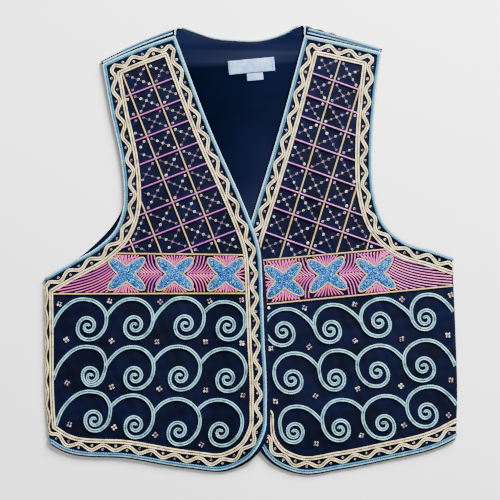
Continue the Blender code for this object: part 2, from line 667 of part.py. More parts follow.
def make_flowers(side):
    """The applied four-petalled flowers of the band, puffed up a little in the middle."""
    border = braid_line(side)
    turn = np.radians(BAND[side]["turn"])
    rotation = np.array([[np.cos(turn), np.sin(turn)], [-np.sin(turn), np.cos(turn)]])
    for number, middle in enumerate(BAND[side]["flowers"], 1):
        offsets = flower_rim() @ rotation
        for _ in range(40):
            near = distance_to(offsets + middle, border) < BRAID_WIDTH / 2 + TRIM_CLEAR
            near |= ~inside(offsets + middle, border)
            offsets[near] *= 0.97
        count = len(offsets)
        plan = np.concatenate([offsets, offsets * 0.5, np.zeros((1, 2))]) + middle
        lower = placed(side, plan, TRIM_GAP)
        puff = np.concatenate([np.full(count, 0.55), np.full(count, 1.0), [1.0]]) * FLOWER_HEIGHT
        upper = lower + np.stack([0 * puff, 0 * puff, puff], axis=1)
        total = len(plan)
        faces = []
        for k in range(count):
            after = (k + 1) % count
            faces.append((k, after, after + total, k + total))
            faces.append((after, k, k + count, after + count))
            faces.append((after + count, k + count, 2 * count))
            faces.append((k + total, after + total, after + count + total, k + count + total))
            faces.append((k + count + total, after + count + total, 2 * count + total))
        add_mesh("flower_%s_%d" % (side, number), np.concatenate([lower, upper]), faces, "blue_fill")


def make_band(side):
    """The fine gold cords above and below the flowers, which end at the border."""
    border = braid_line(side)
    for name in ("top", "foot"):
        line = with_spacing(np.array(BAND[side][name]), 1.0)
        keep = inside(line, border) & (distance_to(line, border) > (BRAID_WIDTH + FINE_CORD) / 2 + TRIM_CLEAR)
        start, end = longest_run(keep)
        line = with_spacing(line[start:end + 1], LATTICE_STEP)
        lay("band_cord_%s_%s" % (name, side), side, line, "gold_cord", FINE_CORD, FINE_CORD)


def make_lattice(side):
    """The lattice above the band: its crossing cords are laid one by one and joined where they cross."""
    row = LATTICE[side]
    border = braid_line(side)
    band = with_spacing(np.array(BAND[side]["top"]), 5.0)
    lines = [((x, row["datum"][1]), row["lean"][1] - 90.0) for x in row["gold"]]
    lines += [((row["datum"][0], y), row["lean"][0]) for y in row["pink"]]
    cords = []
    for number, (middle, lean) in enumerate(lines):
        along = np.array([np.cos(np.radians(lean)), np.sin(np.radians(lean))])
        line = np.array(middle) + np.arange(-260.0, 260.0)[:, None] * along
        above = line[:, 1] > np.interp(line[:, 0], band[:, 0], band[:, 1]) + FINE_CORD + TRIM_CLEAR
        keep = above & inside(line, border) & (distance_to(line, border) > (BRAID_WIDTH + FINE_CORD) / 2 + TRIM_CLEAR)
        start, end = longest_run(keep)
        line = with_spacing(line[start:end + 1], LATTICE_STEP)
        height = FINE_CORD if number < len(row["gold"]) else 0.8 * FINE_CORD
        cords.append(lay("lattice_%s_%d" % (side, number), side, line, "gold_cord", FINE_CORD, height))
    joint = cords[0]
    joint.name = joint.data.name = "lattice_" + side
    for other in cords[1:]:
        union = joint.modifiers.new("Join", "BOOLEAN")
        union.operation = "UNION"
        union.object = other
        other.hide_render = True
        other.display_type = "WIRE"
        VEST.objects.unlink(other)
        GUIDES.objects.link(other)


def add_cord(name, points, width):
    """A cord of the back as a curve with a round bevel, with its ends closed."""
    curve = bpy.data.curves.new(name, "CURVE")
    curve.dimensions = "3D"
    curve.bevel_depth = width / 2 * MM
    curve.bevel_resolution = 1
    curve.use_fill_caps = True
    spline = curve.splines.new("POLY")
    spline.points.add(len(points) - 1)
    for point, place in zip(spline.points, points * MM):
        point.co = (*place, 1.0)
    curve.materials.append(FINISHES["pale_cord"])
    VEST.objects.link(bpy.data.objects.new(name, curve))


def make_back_cords():
    """The back's own edge cord: along its neck, and on each strip that comes over a shoulder."""
    neck = at_fractions(smooth_line(BACK_NECK), np.linspace(0.04, 0.96, 20))
    neck = neck + sideways(neck) * (NECK_CORD / 2 + 0.6)
    height = np.full((len(neck), 1), NECK_CORD / 2 + 0.1)
    add_cord("back_neck_cord", np.concatenate([neck, height], axis=1), NECK_CORD)
    share = np.linspace(0.05, 0.95, 9)
    for side in SHOULDERS:
        on_strip = slanted(side, share, TURN_STEPS + 1)
        line = shoulder_line(side, on_strip, strip_width(side, share) * STRIP_CORD_SHARE)
        height = np.full((len(line), 1), 2 * TURN_RADIUS + NECK_CORD / 2 + SEAM_GAP)
        add_cord("back_shoulder_cord_" + side, np.concatenate([line, height], axis=1), NECK_CORD)


def make_label(name, middle, size):
    """A woven label lying on the lining."""
    bpy.ops.mesh.primitive_cube_add(size=1.0)
    made = bpy.context.object
    made.name = made.data.name = name
    made.scale = [length * MM for length in size]
    bpy.ops.object.transform_apply(location=False, rotation=False, scale=True)
    level = LINING_LEVEL + LINING_WALL + SEAM_GAP + size[2] / 2
    made.location = (middle[0] * MM, middle[1] * MM, level * MM)
    made.rotation_euler = (0.0, 0.0, np.radians(LABEL_TURN))
    made.data.materials.append(FINISHES["label"])
    VEST.objects.link(made)
    bpy.context.scene.collection.objects.unlink(made)


for old in list(bpy.data.objects):
    bpy.data.objects.remove(old)
VEST = bpy.data.collections.new("vest")
GUIDES = bpy.data.collections.new("lattice_cords")
for group in (VEST, GUIDES):
    bpy.context.scene.collection.children.link(group)
bpy.context.view_layer.active_layer_collection = bpy.context.view_layer.layer_collection
FINISHES = {
    "cloth": material("navy_rayon", (0.004, 0.007, 0.035), 0.75),
    "lining": material("navy_lining", (0.008, 0.016, 0.05), 0.6),
    "cream_braid": material("cream_soutache", (0.80, 0.73, 0.55), 0.5),
    "aqua_braid": material("aqua_soutache", (0.33, 0.55, 0.60), 0.5),
    "blue_cord": material("blue_cord", (0.16, 0.42, 0.66), 0.4),
    "pale_cord": material("pale_cord", (0.66, 0.70, 0.76), 0.5),
    "gold_cord": material("gold_cord", (0.76, 0.62, 0.36), 0.4),
    "blue_fill": material("blue_bead_fill", (0.08, 0.32, 0.66), 0.4),
    "label": material("white_label", (0.82, 0.84, 0.88), 0.7),
}
make_back()
make_lining()
for name, row in LABELS.items():
    make_label(name, row["middle"], row["size"])
for side in ("left", "right"):
    make_front(side)
    make_border(side)
    make_scrolls(side)
    make_flowers(side)
    make_band(side)
    make_lattice(side)
make_back_cords()
for made in list(VEST.objects) + list(GUIDES.objects):
    made.location.x -= MIDDLE[0] * MM
    made.location.y -= MIDDLE[1] * MM
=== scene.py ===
"""A navy folk vest laid flat on a pale table, front up, dressed with soutache braid, cords and bead work.

Every piece on a front is worked out in two coordinates of its cloth opened out flat, x and y in mm, and a
rise above its face. The face stands at its level, plus soft swells and small puckers, less a drop at the
tip of the hem and, on the right, plus a lift where it laps over the left. Near the side the cloth turns
down round a fold: the distance into the fold over its radius is an angle, and the point stands out from
the fold's centre by radius plus rise, along that angle's sine and cosine. Right and left are the
wearer's own, so the right front lies at -X.
"""

import bpy
import numpy as np
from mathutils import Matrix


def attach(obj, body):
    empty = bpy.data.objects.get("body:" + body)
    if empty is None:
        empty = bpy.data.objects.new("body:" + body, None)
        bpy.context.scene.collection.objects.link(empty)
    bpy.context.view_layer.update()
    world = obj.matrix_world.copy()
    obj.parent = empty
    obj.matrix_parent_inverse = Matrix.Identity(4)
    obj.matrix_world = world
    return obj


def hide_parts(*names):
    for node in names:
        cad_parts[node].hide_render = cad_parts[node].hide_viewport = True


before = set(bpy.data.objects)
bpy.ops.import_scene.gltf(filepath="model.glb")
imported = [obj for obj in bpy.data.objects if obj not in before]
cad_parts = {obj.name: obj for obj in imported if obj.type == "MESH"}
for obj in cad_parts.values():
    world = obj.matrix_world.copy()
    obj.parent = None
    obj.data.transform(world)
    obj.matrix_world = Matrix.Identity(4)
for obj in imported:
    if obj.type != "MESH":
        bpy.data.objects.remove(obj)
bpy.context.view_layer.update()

# Table and camera
# A plain pale table, matt. The camera looks straight down from 3 m, and the photograph's 500 pixels take in
# 618 mm at the height of the embroidered cloth.
# Plan places are in mm about the middle of the photograph, and MIDDLE is where the part's own origin lies
MIDDLE = np.array([-0.675, -1.215])
VIEW_WIDTH, VIEW_CENTRE = 618.0, (-1.6, -1.2)
CAMERA_HEIGHT, CLOTH_HEIGHT = 3000.0, 5.0
TABLE_HALF = 3


def linear(code):
    """An sRGB hex colour as linear red, green, blue and alpha."""
    parts = np.array([int(code[k:k + 2], 16) for k in (1, 3, 5)]) / 255
    return (*np.where(parts <= 0.04045, parts / 12.92, ((parts + 0.055) / 1.055) ** 2.4), 1.0)


def put(finish, kind, settings=(), links=()):
    """Adds a node to a material, with its settings and the links that join its sockets.

    A setting is a property, a socket or the colour stops, each a place and an sRGB hex colour. A link to a
    node means its first output.
    """
    made = finish.node_tree.nodes.new("ShaderNode" + kind)
    for name, value in dict(settings).items():
        if name == "stops":
            band = made.color_ramp.elements
            while len(band) < len(value):
                band.new(1.0)
            for element, (place, colour) in zip(band, value):
                element.position, element.color = place, linear(colour)
        elif isinstance(name, str) and hasattr(made, name):
            setattr(made, name, value)
        else:
            made.inputs[name].default_value = value
    for name, source in dict(links).items():
        finish.node_tree.links.new(getattr(source, "outputs", [source])[0], made.inputs[name])
    return made


def new_finish(name, colour, roughness, **sockets):
    """A material whose shader has this colour, roughness and any other constant sockets."""
    finish = bpy.data.materials.new(name)
    finish.use_nodes = True
    shader = finish.node_tree.nodes["Principled BSDF"]
    shader.inputs["Base Color"].default_value = linear(colour)
    shader.inputs["Roughness"].default_value = roughness
    for socket, value in sockets.items():
        shader.inputs[socket.replace("_", " ")].default_value = value
    return finish, shader


def shaded(shader, colour, raised=None):
    """Joins a node's or a socket's colour to a shader, and a bump where there is one."""
    wires = shader.id_data.links
    wires.new(getattr(colour, "outputs", [colour])[0], shader.inputs["Base Color"])
    if raised:
        wires.new(raised.outputs[0], shader.inputs["Normal"])


# Painted board, matt: even and pale, with a faint drift of tone over 300 mm
board, shader = new_finish("painted_board", "#e6e6e5", 0.9)
where = put(board, "TexCoord").outputs["Object"]
drift = put(board, "TexNoise", {"Scale": 3.0, "Detail": 1.0}, {"Vector": where})
shaded(shader, put(board, "ValToRGB", {"stops": [(0.3, "#f4f4f3"), (0.7, "#f9f9f8")]}, {0: drift}))
floor_mesh = bpy.data.meshes.new("table")
corners = [(-TABLE_HALF, -TABLE_HALF, 0), (TABLE_HALF, -TABLE_HALF, 0), (TABLE_HALF, TABLE_HALF, 0),
           (-TABLE_HALF, TABLE_HALF, 0)]
floor_mesh.from_pydata(corners, [], [(0, 1, 2, 3)])
floor_mesh.materials.append(board)
table = bpy.data.objects.new("table", floor_mesh)
bpy.context.scene.collection.objects.link(table)

camera = bpy.data.objects.new("camera", bpy.data.cameras.new("camera"))
camera.data.lens = camera.data.sensor_width * (CAMERA_HEIGHT - CLOTH_HEIGHT) / VIEW_WIDTH
camera.location = (*(np.array(VIEW_CENTRE) - MIDDLE) * 0.001, CAMERA_HEIGHT * 0.001)
bpy.context.scene.collection.objects.link(camera)
bpy.context.scene.camera = camera

# Light
# A large soft box beyond the collar and to the right, a weaker one opposite, and an even pale room. The
# table is brightest at the collar end, as in the photograph.
# Per lamp: name, place and size in m, power in W
LAMPS = [("soft_box", (0.9, 1.6, 1.15), 1.1, 300.0), ("fill", (-1.3, -0.9, 1.6), 1.6, 5.0)]
for name, place, size, power in LAMPS:
    lamp = bpy.data.lights.new(name, "AREA")
    lamp.shape, lamp.size, lamp.energy = "SQUARE", size, power
    light = bpy.data.objects.new(name, lamp)
    light.location = place
    away = np.array(place) / np.linalg.norm(place)
    light.rotation_euler = (np.arccos(away[2]), 0.0, np.arctan2(away[1], away[0]) + np.pi / 2)
    bpy.context.scene.collection.objects.link(light)
room = bpy.data.worlds.new("room")
room.use_nodes = True
room.node_tree.nodes["Background"].inputs["Color"].default_value = linear("#f2f4f7")
room.node_tree.nodes["Background"].inputs["Strength"].default_value = 0.52
bpy.context.scene.world = room

# Cloth of the fronts
# Each front is navy rayon with its own facing, one soft wall 1.8 mm thick. It is cut with a rounded hem
# corner, curved armhole and V neck, is sewn to the back at the shoulder, and turns down at the side.
SHELL_WALL, LINING_WALL, FRONT_WALL, SEAM_GAP = 1.2, 1.0, 1.8, 0.3
LINING_LEVEL = SHELL_WALL + SEAM_GAP
FRONT_LEVEL = LINING_LEVEL + LINING_WALL + 0.4
FRONT_TOP = FRONT_LEVEL + FRONT_WALL
TIP_LEVEL, TIP_DROP_OVER = 1.0, 34.0
FOLD_END = 0.8
TURN_RADIUS, TURN_STEPS = FRONT_TOP / 2, 4
LAP_LIFT, LAP_REACH, LAP_FADE = 6.0, 58.0, (-300.0, 62.0)
INWARD = dict(right=1.0, left=-1.0)
SHOULDERS = {
    "right": dict(tip=(-186.3, 232.3), neck=(-86.9, 275.0), strip=(1.8, 5.6), slant=10.9, bulge=2.4),
    "left": dict(tip=(162.2, 247.6), neck=(59.6, 277.7), strip=(1.8, 8.4), slant=9.5, bulge=0.6),
}
CORNER_ROW, TIP_SHARE = 5, 0.68
FRONT_EDGES = {
    "right": dict(
        opening=[(-249.6, -240.6), (-239.0, -247.4), (-150.3, -259.6), (-78.0, -271.6), (-28.8, -274.2),
                 (3.3, -257.5), (21.6, -227.0), (24.0, -190.0), (21.0, -110.0), (17.6, -40.0),
                 (12.2, 0.0), (0.2, 32.4), (-53.3, 156.1)],
        armhole=[(-222.9, -16.4), (-190.0, 2.7), (-168.2, 24.5), (-159.0, 49.0), (-158.0, 79.1),
                 (-161.0, 107.5), (-174.0, 169.7)],
        side=[(-254.4, -100.1), (-253.4, -190.0)],
        underarm=(-255.1, -35.0),
    ),
    "left": dict(
        opening=[(253.4, -234.6), (240.0, -241.6), (163.4, -262.4), (112.0, -272.6), (60.2, -278.5),
                 (22.0, -262.4), (5.8, -239.8), (0.9, -199.0), (-6.6, -112.5), (-13.2, -32.0),
                 (-11.0, 2.0), (0.1, 37.1), (34.8, 150.0)],
        armhole=[(225.8, -1.9), (187.9, 10.6), (163.7, 33.4), (154.0, 60.6), (150.3, 85.0),
                 (149.6, 109.6), (153.9, 185.6)],
        side=[(252.8, -94.8), (255.1, -190.0)],
        underarm=(248.9, -9.9),
    ),
}
BACK_HEM = [(-246.0, -236.5), (-120.0, -243.5), (0.0, -246.0), (120.0, -241.0), (250.0, -231.0)]
# Per swell: middle, half length, half width, turn in degrees and rise
SWELLS = {
    "right": [(-150.0, -130.0, 95.0, 55.0, 80.0, 2.2), (-60.0, -200.0, 80.0, 42.0, 10.0, 1.4),
              (-95.0, 40.0, 90.0, 38.0, 66.0, 1.8), (-200.0, -60.0, 60.0, 34.0, 30.0, 1.5),
              (-128.0, 170.0, 60.0, 30.0, 70.0, 1.0)],
    "left": [(150.0, -120.0, 90.0, 55.0, 95.0, 2.3), (85.0, -205.0, 80.0, 40.0, 170.0, 1.5),
             (80.0, 60.0, 95.0, 36.0, 112.0, 1.7), (205.0, -50.0, 60.0, 34.0, 150.0, 1.6),
             (112.0, 185.0, 55.0, 30.0, 106.0, 1.0)],
}
# Per pucker: its waves a mm across and along, in radians, and where they start
PUCKERS = [(0.31, 0.12, 0.4), (-0.17, 0.27, 1.9), (0.09, -0.41, 3.1), (0.44, 0.21, 5.0)]
PUCKER_HEIGHT, SWELL_FROM_RIM = 0.10, 40.0
HEIGHT_STEP = 2.0
HEIGHT_BOXES = [("right", (-266.0, -286.0), (34.0, 286.0)), ("left", (-24.0, -290.0), (266.0, 290.0))]


def smooth_line(rows, per_span=16):
    """A cubic curve through the rows: its slope at a row follows the chords on both sides of it."""
    rows = np.array(rows, float)
    reach = reach_along(rows)
    slopes = np.gradient(rows, reach, axis=0)
    span = np.repeat(np.arange(len(rows) - 1), per_span)
    t = np.tile(np.arange(per_span) / per_span, len(rows) - 1)[:, None]
    length = np.diff(reach)[span][:, None]
    line = ((1 + 2 * t) * (1 - t) ** 2 * rows[span] + t ** 2 * (3 - 2 * t) * rows[span + 1]
            + t * (1 - t) ** 2 * length * slopes[span] - t ** 2 * (1 - t) * length * slopes[span + 1])
    return np.concatenate([line, rows[-1:]])


def reach_along(line):
    """Distance from the start of a line to each of its points."""
    return np.concatenate([[0.0], np.cumsum(np.linalg.norm(np.diff(line, axis=0), axis=1))])


def at_fractions(line, fractions):
    """Points of a line at these fractions of its length."""
    reach = reach_along(line)
    wanted = np.asarray(fractions) * reach[-1]
    return np.stack([np.interp(wanted, reach, line[:, k]) for k in range(line.shape[1])], axis=1)


def with_spacing(line, spacing):
    """The line with its points about this far apart."""
    count = max(int(round(reach_along(line)[-1] / spacing)), 2)
    return at_fractions(line, np.linspace(0, 1, count + 1))


def joined(*lines):
    """Lines end to end, without the doubled point where two of them meet."""
    return np.concatenate([lines[0]] + [line[1:] for line in lines[1:]])


def sideways(line, closed=False):
    """Direction square to a line at each point, to its left."""
    if closed:
        run = np.roll(line, -1, axis=0) - np.roll(line, 1, axis=0)
    else:
        run = np.gradient(line, axis=0)
    run = run / np.maximum(np.linalg.norm(run, axis=1, keepdims=True), 1e-9)
    return np.stack([-run[:, 1], run[:, 0]], axis=1)


def distance_to(points, line):
    """Shortest distance from each point to a line of short straight pieces, a block of points at a time."""
    flat = np.asarray(points, float).reshape(-1, 2)
    x0, y0 = line[:-1].T
    dx, dy = np.diff(line, axis=0).T
    found = []
    for block in np.array_split(flat, max(len(flat) // 4000, 1)):
        x, y = block[:, :1] - x0, block[:, 1:] - y0
        share = np.clip((x * dx + y * dy) / (dx * dx + dy * dy), 0, 1)
        found.append(((x - share * dx) ** 2 + (y - share * dy) ** 2).min(1))
    return np.sqrt(np.concatenate(found)).reshape(np.asarray(points).shape[:-1])


def ease(share):
    """Smooth step from 0 to 1."""
    share = np.clip(share, 0, 1)
    return share * share * (3 - 2 * share)


def shoulder_line(side, share, inward=0.0):
    """Points along the start of a shoulder's fold, tip to neck, moved inwards by a distance that may vary."""
    row = SHOULDERS[side]
    tip, neck = np.array(row["tip"]), np.array(row["neck"])
    length = np.linalg.norm(neck - tip)
    along = (neck - tip) / length
    outward = np.array([-along[1], along[0]]) * INWARD[side]
    share = np.asarray(share)[:, None]
    bow = row["bulge"] * 4 * share * (1 - share) - TURN_RADIUS
    return tip + along * length * share + outward * (bow - np.asarray(inward).reshape(-1, 1))


def strip_width(side, share):
    """Width past the fold of the strip of back cloth at each share of the shoulder."""
    return np.interp(share, [0.0, 1.0], SHOULDERS[side]["strip"])


def slanted(side, share, step):
    """Shares of the shoulder's length where the strip has its points at this step of its turn."""
    row = SHOULDERS[side]
    length = np.linalg.norm(np.subtract(row["neck"], row["tip"]))
    return share * (1 - row["slant"] / length * step / (TURN_STEPS + 1))


def front_outline(side):
    """The edges of a front as dense lines, each running on round the piece from the side of the hem."""
    edges = FRONT_EDGES[side]
    share = np.linspace(0, 1, 13)
    seam = shoulder_line(side, slanted(side, share, TURN_STEPS + 1), strip_width(side, share) + SEAM_GAP)
    return dict(
        opening=smooth_line(edges["opening"] + [tuple(seam[-1])]),
        shoulder=seam[::-1],
        armhole=smooth_line([tuple(seam[0])] + edges["armhole"][::-1] + [edges["underarm"]]),
        side=smooth_line([edges["underarm"]] + edges["side"] + [edges["opening"][0]]),
    )


def corner_of(side):
    """Which point of the dense opening line is the middle of the rounded corner."""
    return CORNER_ROW * (len(OUTLINES[side]["opening"]) - 1) // len(FRONT_EDGES[side]["opening"])


def flat_height(side, plan):
    """Height of a front's face before its side turns down: swells, puckers, the hem's tip and the lap."""
    outline = OUTLINES[side]
    rim = np.minimum(distance_to(plan, outline["opening"]), distance_to(plan, outline["armhole"]))
    rim = np.minimum(rim, distance_to(plan, outline["shoulder"]))
    swell = np.zeros(plan.shape[:-1])
    for x, y, half_length, half_width, turn, rise in SWELLS[side]:
        away = plan - np.array([x, y])
        c, s = np.cos(np.radians(turn)), np.sin(np.radians(turn))
        along, across = away[..., 0] * c + away[..., 1] * s, away[..., 1] * c - away[..., 0] * s
        swell += rise * np.exp(-(along / half_length) ** 2 - (across / half_width) ** 2)
    pucker = sum(1 + np.sin(a * plan[..., 0] + b * plan[..., 1] + c) for a, b, c in PUCKERS) * PUCKER_HEIGHT
    hem = smooth_line(BACK_HEM)
    past_hem = np.interp(plan[..., 0], hem[:, 0], hem[:, 1]) - plan[..., 1]
    height = FRONT_TOP + swell * ease(rim / SWELL_FROM_RIM) + pucker
    height = height - (FRONT_LEVEL - TIP_LEVEL) * ease((past_hem - 1.0) / TIP_DROP_OVER)
    if side == "right":
        under = OUTLINES["left"]["opening"][corner_of("left"):]
        edge_x = np.interp(plan[..., 1], under[:, 1], under[:, 0])
        fade = ease((plan[..., 1] - LAP_FADE[0]) / LAP_FADE[1])
        height = height + LAP_LIFT * fade * ease(1 + (plan[..., 0] - edge_x) / LAP_REACH)
    return height


def height_at(side, flat):
    """Height of a front's face anywhere, read between the points of a 2 mm grid of its formula."""
    low, table = HEIGHTS[side]
    place = (np.asarray(flat) - low) / HEIGHT_STEP
    corner = np.clip(np.floor(place).astype(int), 0, np.array(table.shape) - 2)
    u, v = np.moveaxis(np.clip(place - corner, 0, 1), -1, 0)
    i, j = np.moveaxis(corner, -1, 0)
    return ((1 - u) * (1 - v) * table[i, j] + u * (1 - v) * table[i + 1, j]
            + (1 - u) * v * table[i, j + 1] + u * v * table[i + 1, j + 1])


def from_fold(side, points):
    """Distance of each point from the line where the side turns down, positive inside it."""
    line = OUTLINES[side]["side"][::-1]
    return (points[..., 0] - np.interp(points[..., 1], line[:, 1], line[:, 0])) * INWARD[side]


def unrolled(side, plan):
    """Plan points with the turned-down side opened out flat, so a trim keeps its width round the fold."""
    radius = height_at(side, plan) - FOLD_END
    reach = from_fold(side, plan)
    angle = np.arcsin(np.clip((radius - reach) / radius, 0, 1))
    flat = np.array(plan, float)
    flat[..., 0] -= INWARD[side] * np.where(reach < radius, reach - radius * (1 - angle), 0.0)
    return flat


def placed(side, flat, rise):
    """Flat points put on a front, moved out from its face by a rise, with the side turned down again."""
    radius = height_at(side, flat) - FOLD_END
    reach = from_fold(side, flat)
    angle = np.clip((radius - reach) / radius, 0, np.pi / 2)
    moved = np.where(reach < radius, radius - reach, 0.0) - (radius + rise) * np.sin(angle)
    x = flat[..., 0] + INWARD[side] * moved
    return np.stack([x, flat[..., 1] + 0 * x, FOLD_END + (radius + rise) * np.cos(angle)], axis=-1)


def grid_faces(rows, columns, first=0, flip=False):
    """Four-sided faces of a grid of points numbered row by row."""
    corner = first + np.arange(rows - 1)[:, None] * columns + np.arange(columns - 1)
    faces = np.stack([corner, corner + 1, corner + columns + 1, corner + columns], axis=-1).reshape(-1, 4)
    return faces[:, ::-1] if flip else faces


def walled(side, flat):
    """A front's closed wall: its face, the same grid a wall's thickness under it, and the rim between."""
    rows, columns = flat.shape[:2]
    count = rows * columns
    index = np.arange(count).reshape(rows, columns)
    loop = np.concatenate([index[0, :-1], index[:-1, -1], index[-1, :0:-1], index[:0:-1, 0]])
    following = np.roll(loop, -1)
    face = grid_faces(rows, columns)
    faces = np.concatenate([face, face[:, ::-1] + count,
                            np.stack([following, loop, loop + count, following + count], axis=1)])
    points = np.concatenate([placed(side, flat, rise).reshape(-1, 3) for rise in (0.0, -FRONT_WALL)])
    return points, faces[:, ::-1] if side == "left" else faces


def sewn(name, shape, finish, nodes=(), wall=None):
    """A named piece that moves with the vest and stands for these CAD nodes.

    Its shape is points in mm, faces and, on a trim, the weave. A wall is grown inwards from the points.
    """
    points, faces, *weave = shape
    mesh = bpy.data.meshes.new(name)
    points = np.asarray(points, float).reshape(-1, 3) - (*MIDDLE, 0.0)
    mesh.from_pydata((points * 0.001).tolist(), [], [list(face) for face in faces])
    mesh.shade_smooth()
    mesh.materials.append(finish)
    if weave:
        layer = mesh.attributes.new("weave", "FLOAT_VECTOR", "POINT")
        layer.data.foreach_set("vector", np.asarray(weave[0], np.float32).reshape(-1))
    made = bpy.data.objects.new(name, mesh)
    bpy.context.scene.collection.objects.link(made)
    if wall:
        solidify = made.modifiers.new("Wall", "SOLIDIFY")
        solidify.thickness, solidify.offset = wall * 0.001, -1.0
    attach(made, "root")
    if nodes:
        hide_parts(*nodes)
    return made


def front_grid(side, across, along):
    """Plan of a front: the two sheets ruled between its opposite edges, less the one through its corners."""
    outline, split, tip = OUTLINES[side], corner_of(side), TIP_SHARE
    upper = across > tip
    bottom = at_fractions(outline["opening"][:split + 1], across)
    top = np.concatenate([at_fractions(outline["armhole"][::-1], across[~upper] / tip),
                          at_fractions(outline["shoulder"][::-1], (across[upper] - tip) / (1 - tip))])
    left = at_fractions(outline["side"][::-1], along)
    right = at_fractions(outline["opening"][split:], along)
    u, v = across[None, :, None], along[:, None, None]
    ruled = (1 - v) * bottom[None] + v * top[None] + (1 - u) * left[:, None] + u * right[:, None]
    corners = (1 - v) * ((1 - u) * bottom[0] + u * bottom[-1]) + v * ((1 - u) * top[0] + u * top[-1])
    return ruled - corners


# Navy rayon, plain weave: near black, matt to a low sheen. Its 0.3 mm threads are finer than a pixel, so
# they are drawn 1.4 mm apart, low, and the dye drifts a little over 30 mm
rayon, shader = new_finish("navy_rayon", "#0a1a3c", 0.62, Specular_IOR_Level=0.06)
where = put(rayon, "TexCoord").outputs["Object"]
drift = put(rayon, "TexNoise", {"Scale": 33.0, "Detail": 3.0}, {"Vector": where})
tone = put(rayon, "ValToRGB", {"stops": [(0.3, "#00020e"), (0.7, "#010521")]}, {0: drift})
threads = [put(rayon, "TexWave", {"Scale": 225.0, "Distortion": 0.6, "Detail": 1.0, "bands_direction": axis},
               {"Vector": where}).outputs[1] for axis in ("X", "Y")]
crossed = put(rayon, "Math", {"operation": "MULTIPLY"}, {0: threads[0], 1: threads[1]})
shaded(shader, tone, put(rayon, "Bump", {"Strength": 0.35, "Distance": 0.0003}, {"Height": crossed}))

OUTLINES = {side: front_outline(side) for side in FRONT_EDGES}
HEIGHTS = {}
for side, low, high in HEIGHT_BOXES:
    reach = [np.arange(start, end, HEIGHT_STEP) for start, end in zip(low, high)]
    HEIGHTS[side] = (np.array(low), flat_height(side, np.stack(np.meshgrid(*reach, indexing="ij"), axis=-1)))

ACROSS = joined(np.linspace(0, 0.02, 9), np.linspace(0.02, TIP_SHARE, 81), np.linspace(TIP_SHARE, 1, 41))
ALONG = np.linspace(0, 1, 181)
for side, width, length in (("right", 0.285, 0.556), ("left", 0.272, 0.562)):
    shape = walled(side, unrolled(side, front_grid(side, ACROSS, ALONG)))
    front = sewn("cloth_front_" + side, shape, rayon, ["front_" + side])

# Back
# The outer back is one piece of the same rayon, flat on the table. A strip of it turns over each shoulder
# and meets the front in a seam a little down the chest.
UNDERARM_ROW = 2
BACK_NECK = [(-86.0, 272.8), (-73.7, 268.4), (-46.8, 259.6), (-20.1, 256.6), (12.9, 256.8), (39.7, 264.8),
             (58.9, 275.4)]
BACK_SIDES = {
    "right": [(-250.0, -191.6), (-251.1, -100.0), (-251.6, -38.0), (-220.1, -15.8), (-191.3, 8.3),
              (-168.6, 33.7), (-155.9, 60.0), (-152.2, 85.0), (-153.6, 110.0), (-166.2, 170.0)],
    "left": [(251.8, -192.8), (249.6, -94.8), (245.4, -12.5), (225.2, -3.6), (187.0, 9.2),
             (162.4, 32.6), (151.4, 60.6), (147.5, 85.0), (146.8, 109.6), (150.8, 185.6)],
}
TURNS = 14


def looped(points):
    """Points with the first of them again at the end."""
    return np.concatenate([points, points[:1]])


def at_height(plan, height):
    """Plan points at a height, one for all or one for each."""
    return np.column_stack([plan, np.full(len(plan), height)])


def back_outline():
    """Outline of the back from the right of the hem round, with the start of each shoulder's points."""
    share = np.linspace(0, 1, 41)
    right_fold, left_fold = shoulder_line("right", share), shoulder_line("left", share)
    sides = {}
    for side, hem_end, fold in (("right", BACK_HEM[0], right_fold), ("left", BACK_HEM[-1], left_fold)):
        rows = BACK_SIDES[side]
        lower = smooth_line([hem_end] + rows[:UNDERARM_ROW + 1])
        upper = smooth_line(rows[UNDERARM_ROW:] + [tuple(fold[0])])
        sides[side] = joined(with_spacing(lower, 6.0), with_spacing(upper, 3.0))
    hem, neck = with_spacing(smooth_line(BACK_HEM), 8.0), with_spacing(smooth_line(BACK_NECK), 3.0)
    rim = joined(hem, sides["left"], left_fold)
    return np.concatenate([rim, neck[-2:0:-1], right_fold[::-1], sides["right"][-2:0:-1]]), share


rim, share = back_outline()
points = [at_height(rim, 0.0)]
faces = [np.arange(len(rim))[::-1]]
for side in SHOULDERS:
    strip = []
    for step in joined(np.linspace(0, TURN_STEPS, TURNS), np.linspace(TURN_STEPS, TURN_STEPS + 1, 5)):
        angle = np.pi * min(step, TURN_STEPS) / TURN_STEPS
        inward = -TURN_RADIUS * np.sin(angle) + max(step - TURN_STEPS, 0.0) * strip_width(side, share)
        place = shoulder_line(side, slanted(side, share, step), inward)
        strip.append(at_height(place, TURN_RADIUS * (1 - np.cos(angle))))
    faces.extend(grid_faces(len(strip), len(share), sum(len(part) for part in points), flip=side == "right"))
    points.append(np.concatenate(strip))
back = sewn("cloth_back", (np.concatenate(points), faces), rayon, ["back_shell"])
weld = back.modifiers.new("Sewn fold", "WELD")
weld.merge_threshold = 0.00002
wall = back.modifiers.new("Wall", "SOLIDIFY")
wall.thickness, wall.offset = SHELL_WALL * 0.001, -1.0

# Back lining
# Navy lining cloth, lighter and smoother than the rayon, cut a little smaller than the back and sewn to it
# round the edge. It shows inside the neck, where it lies in soft shallow folds.
LINING_INSET = 2.6
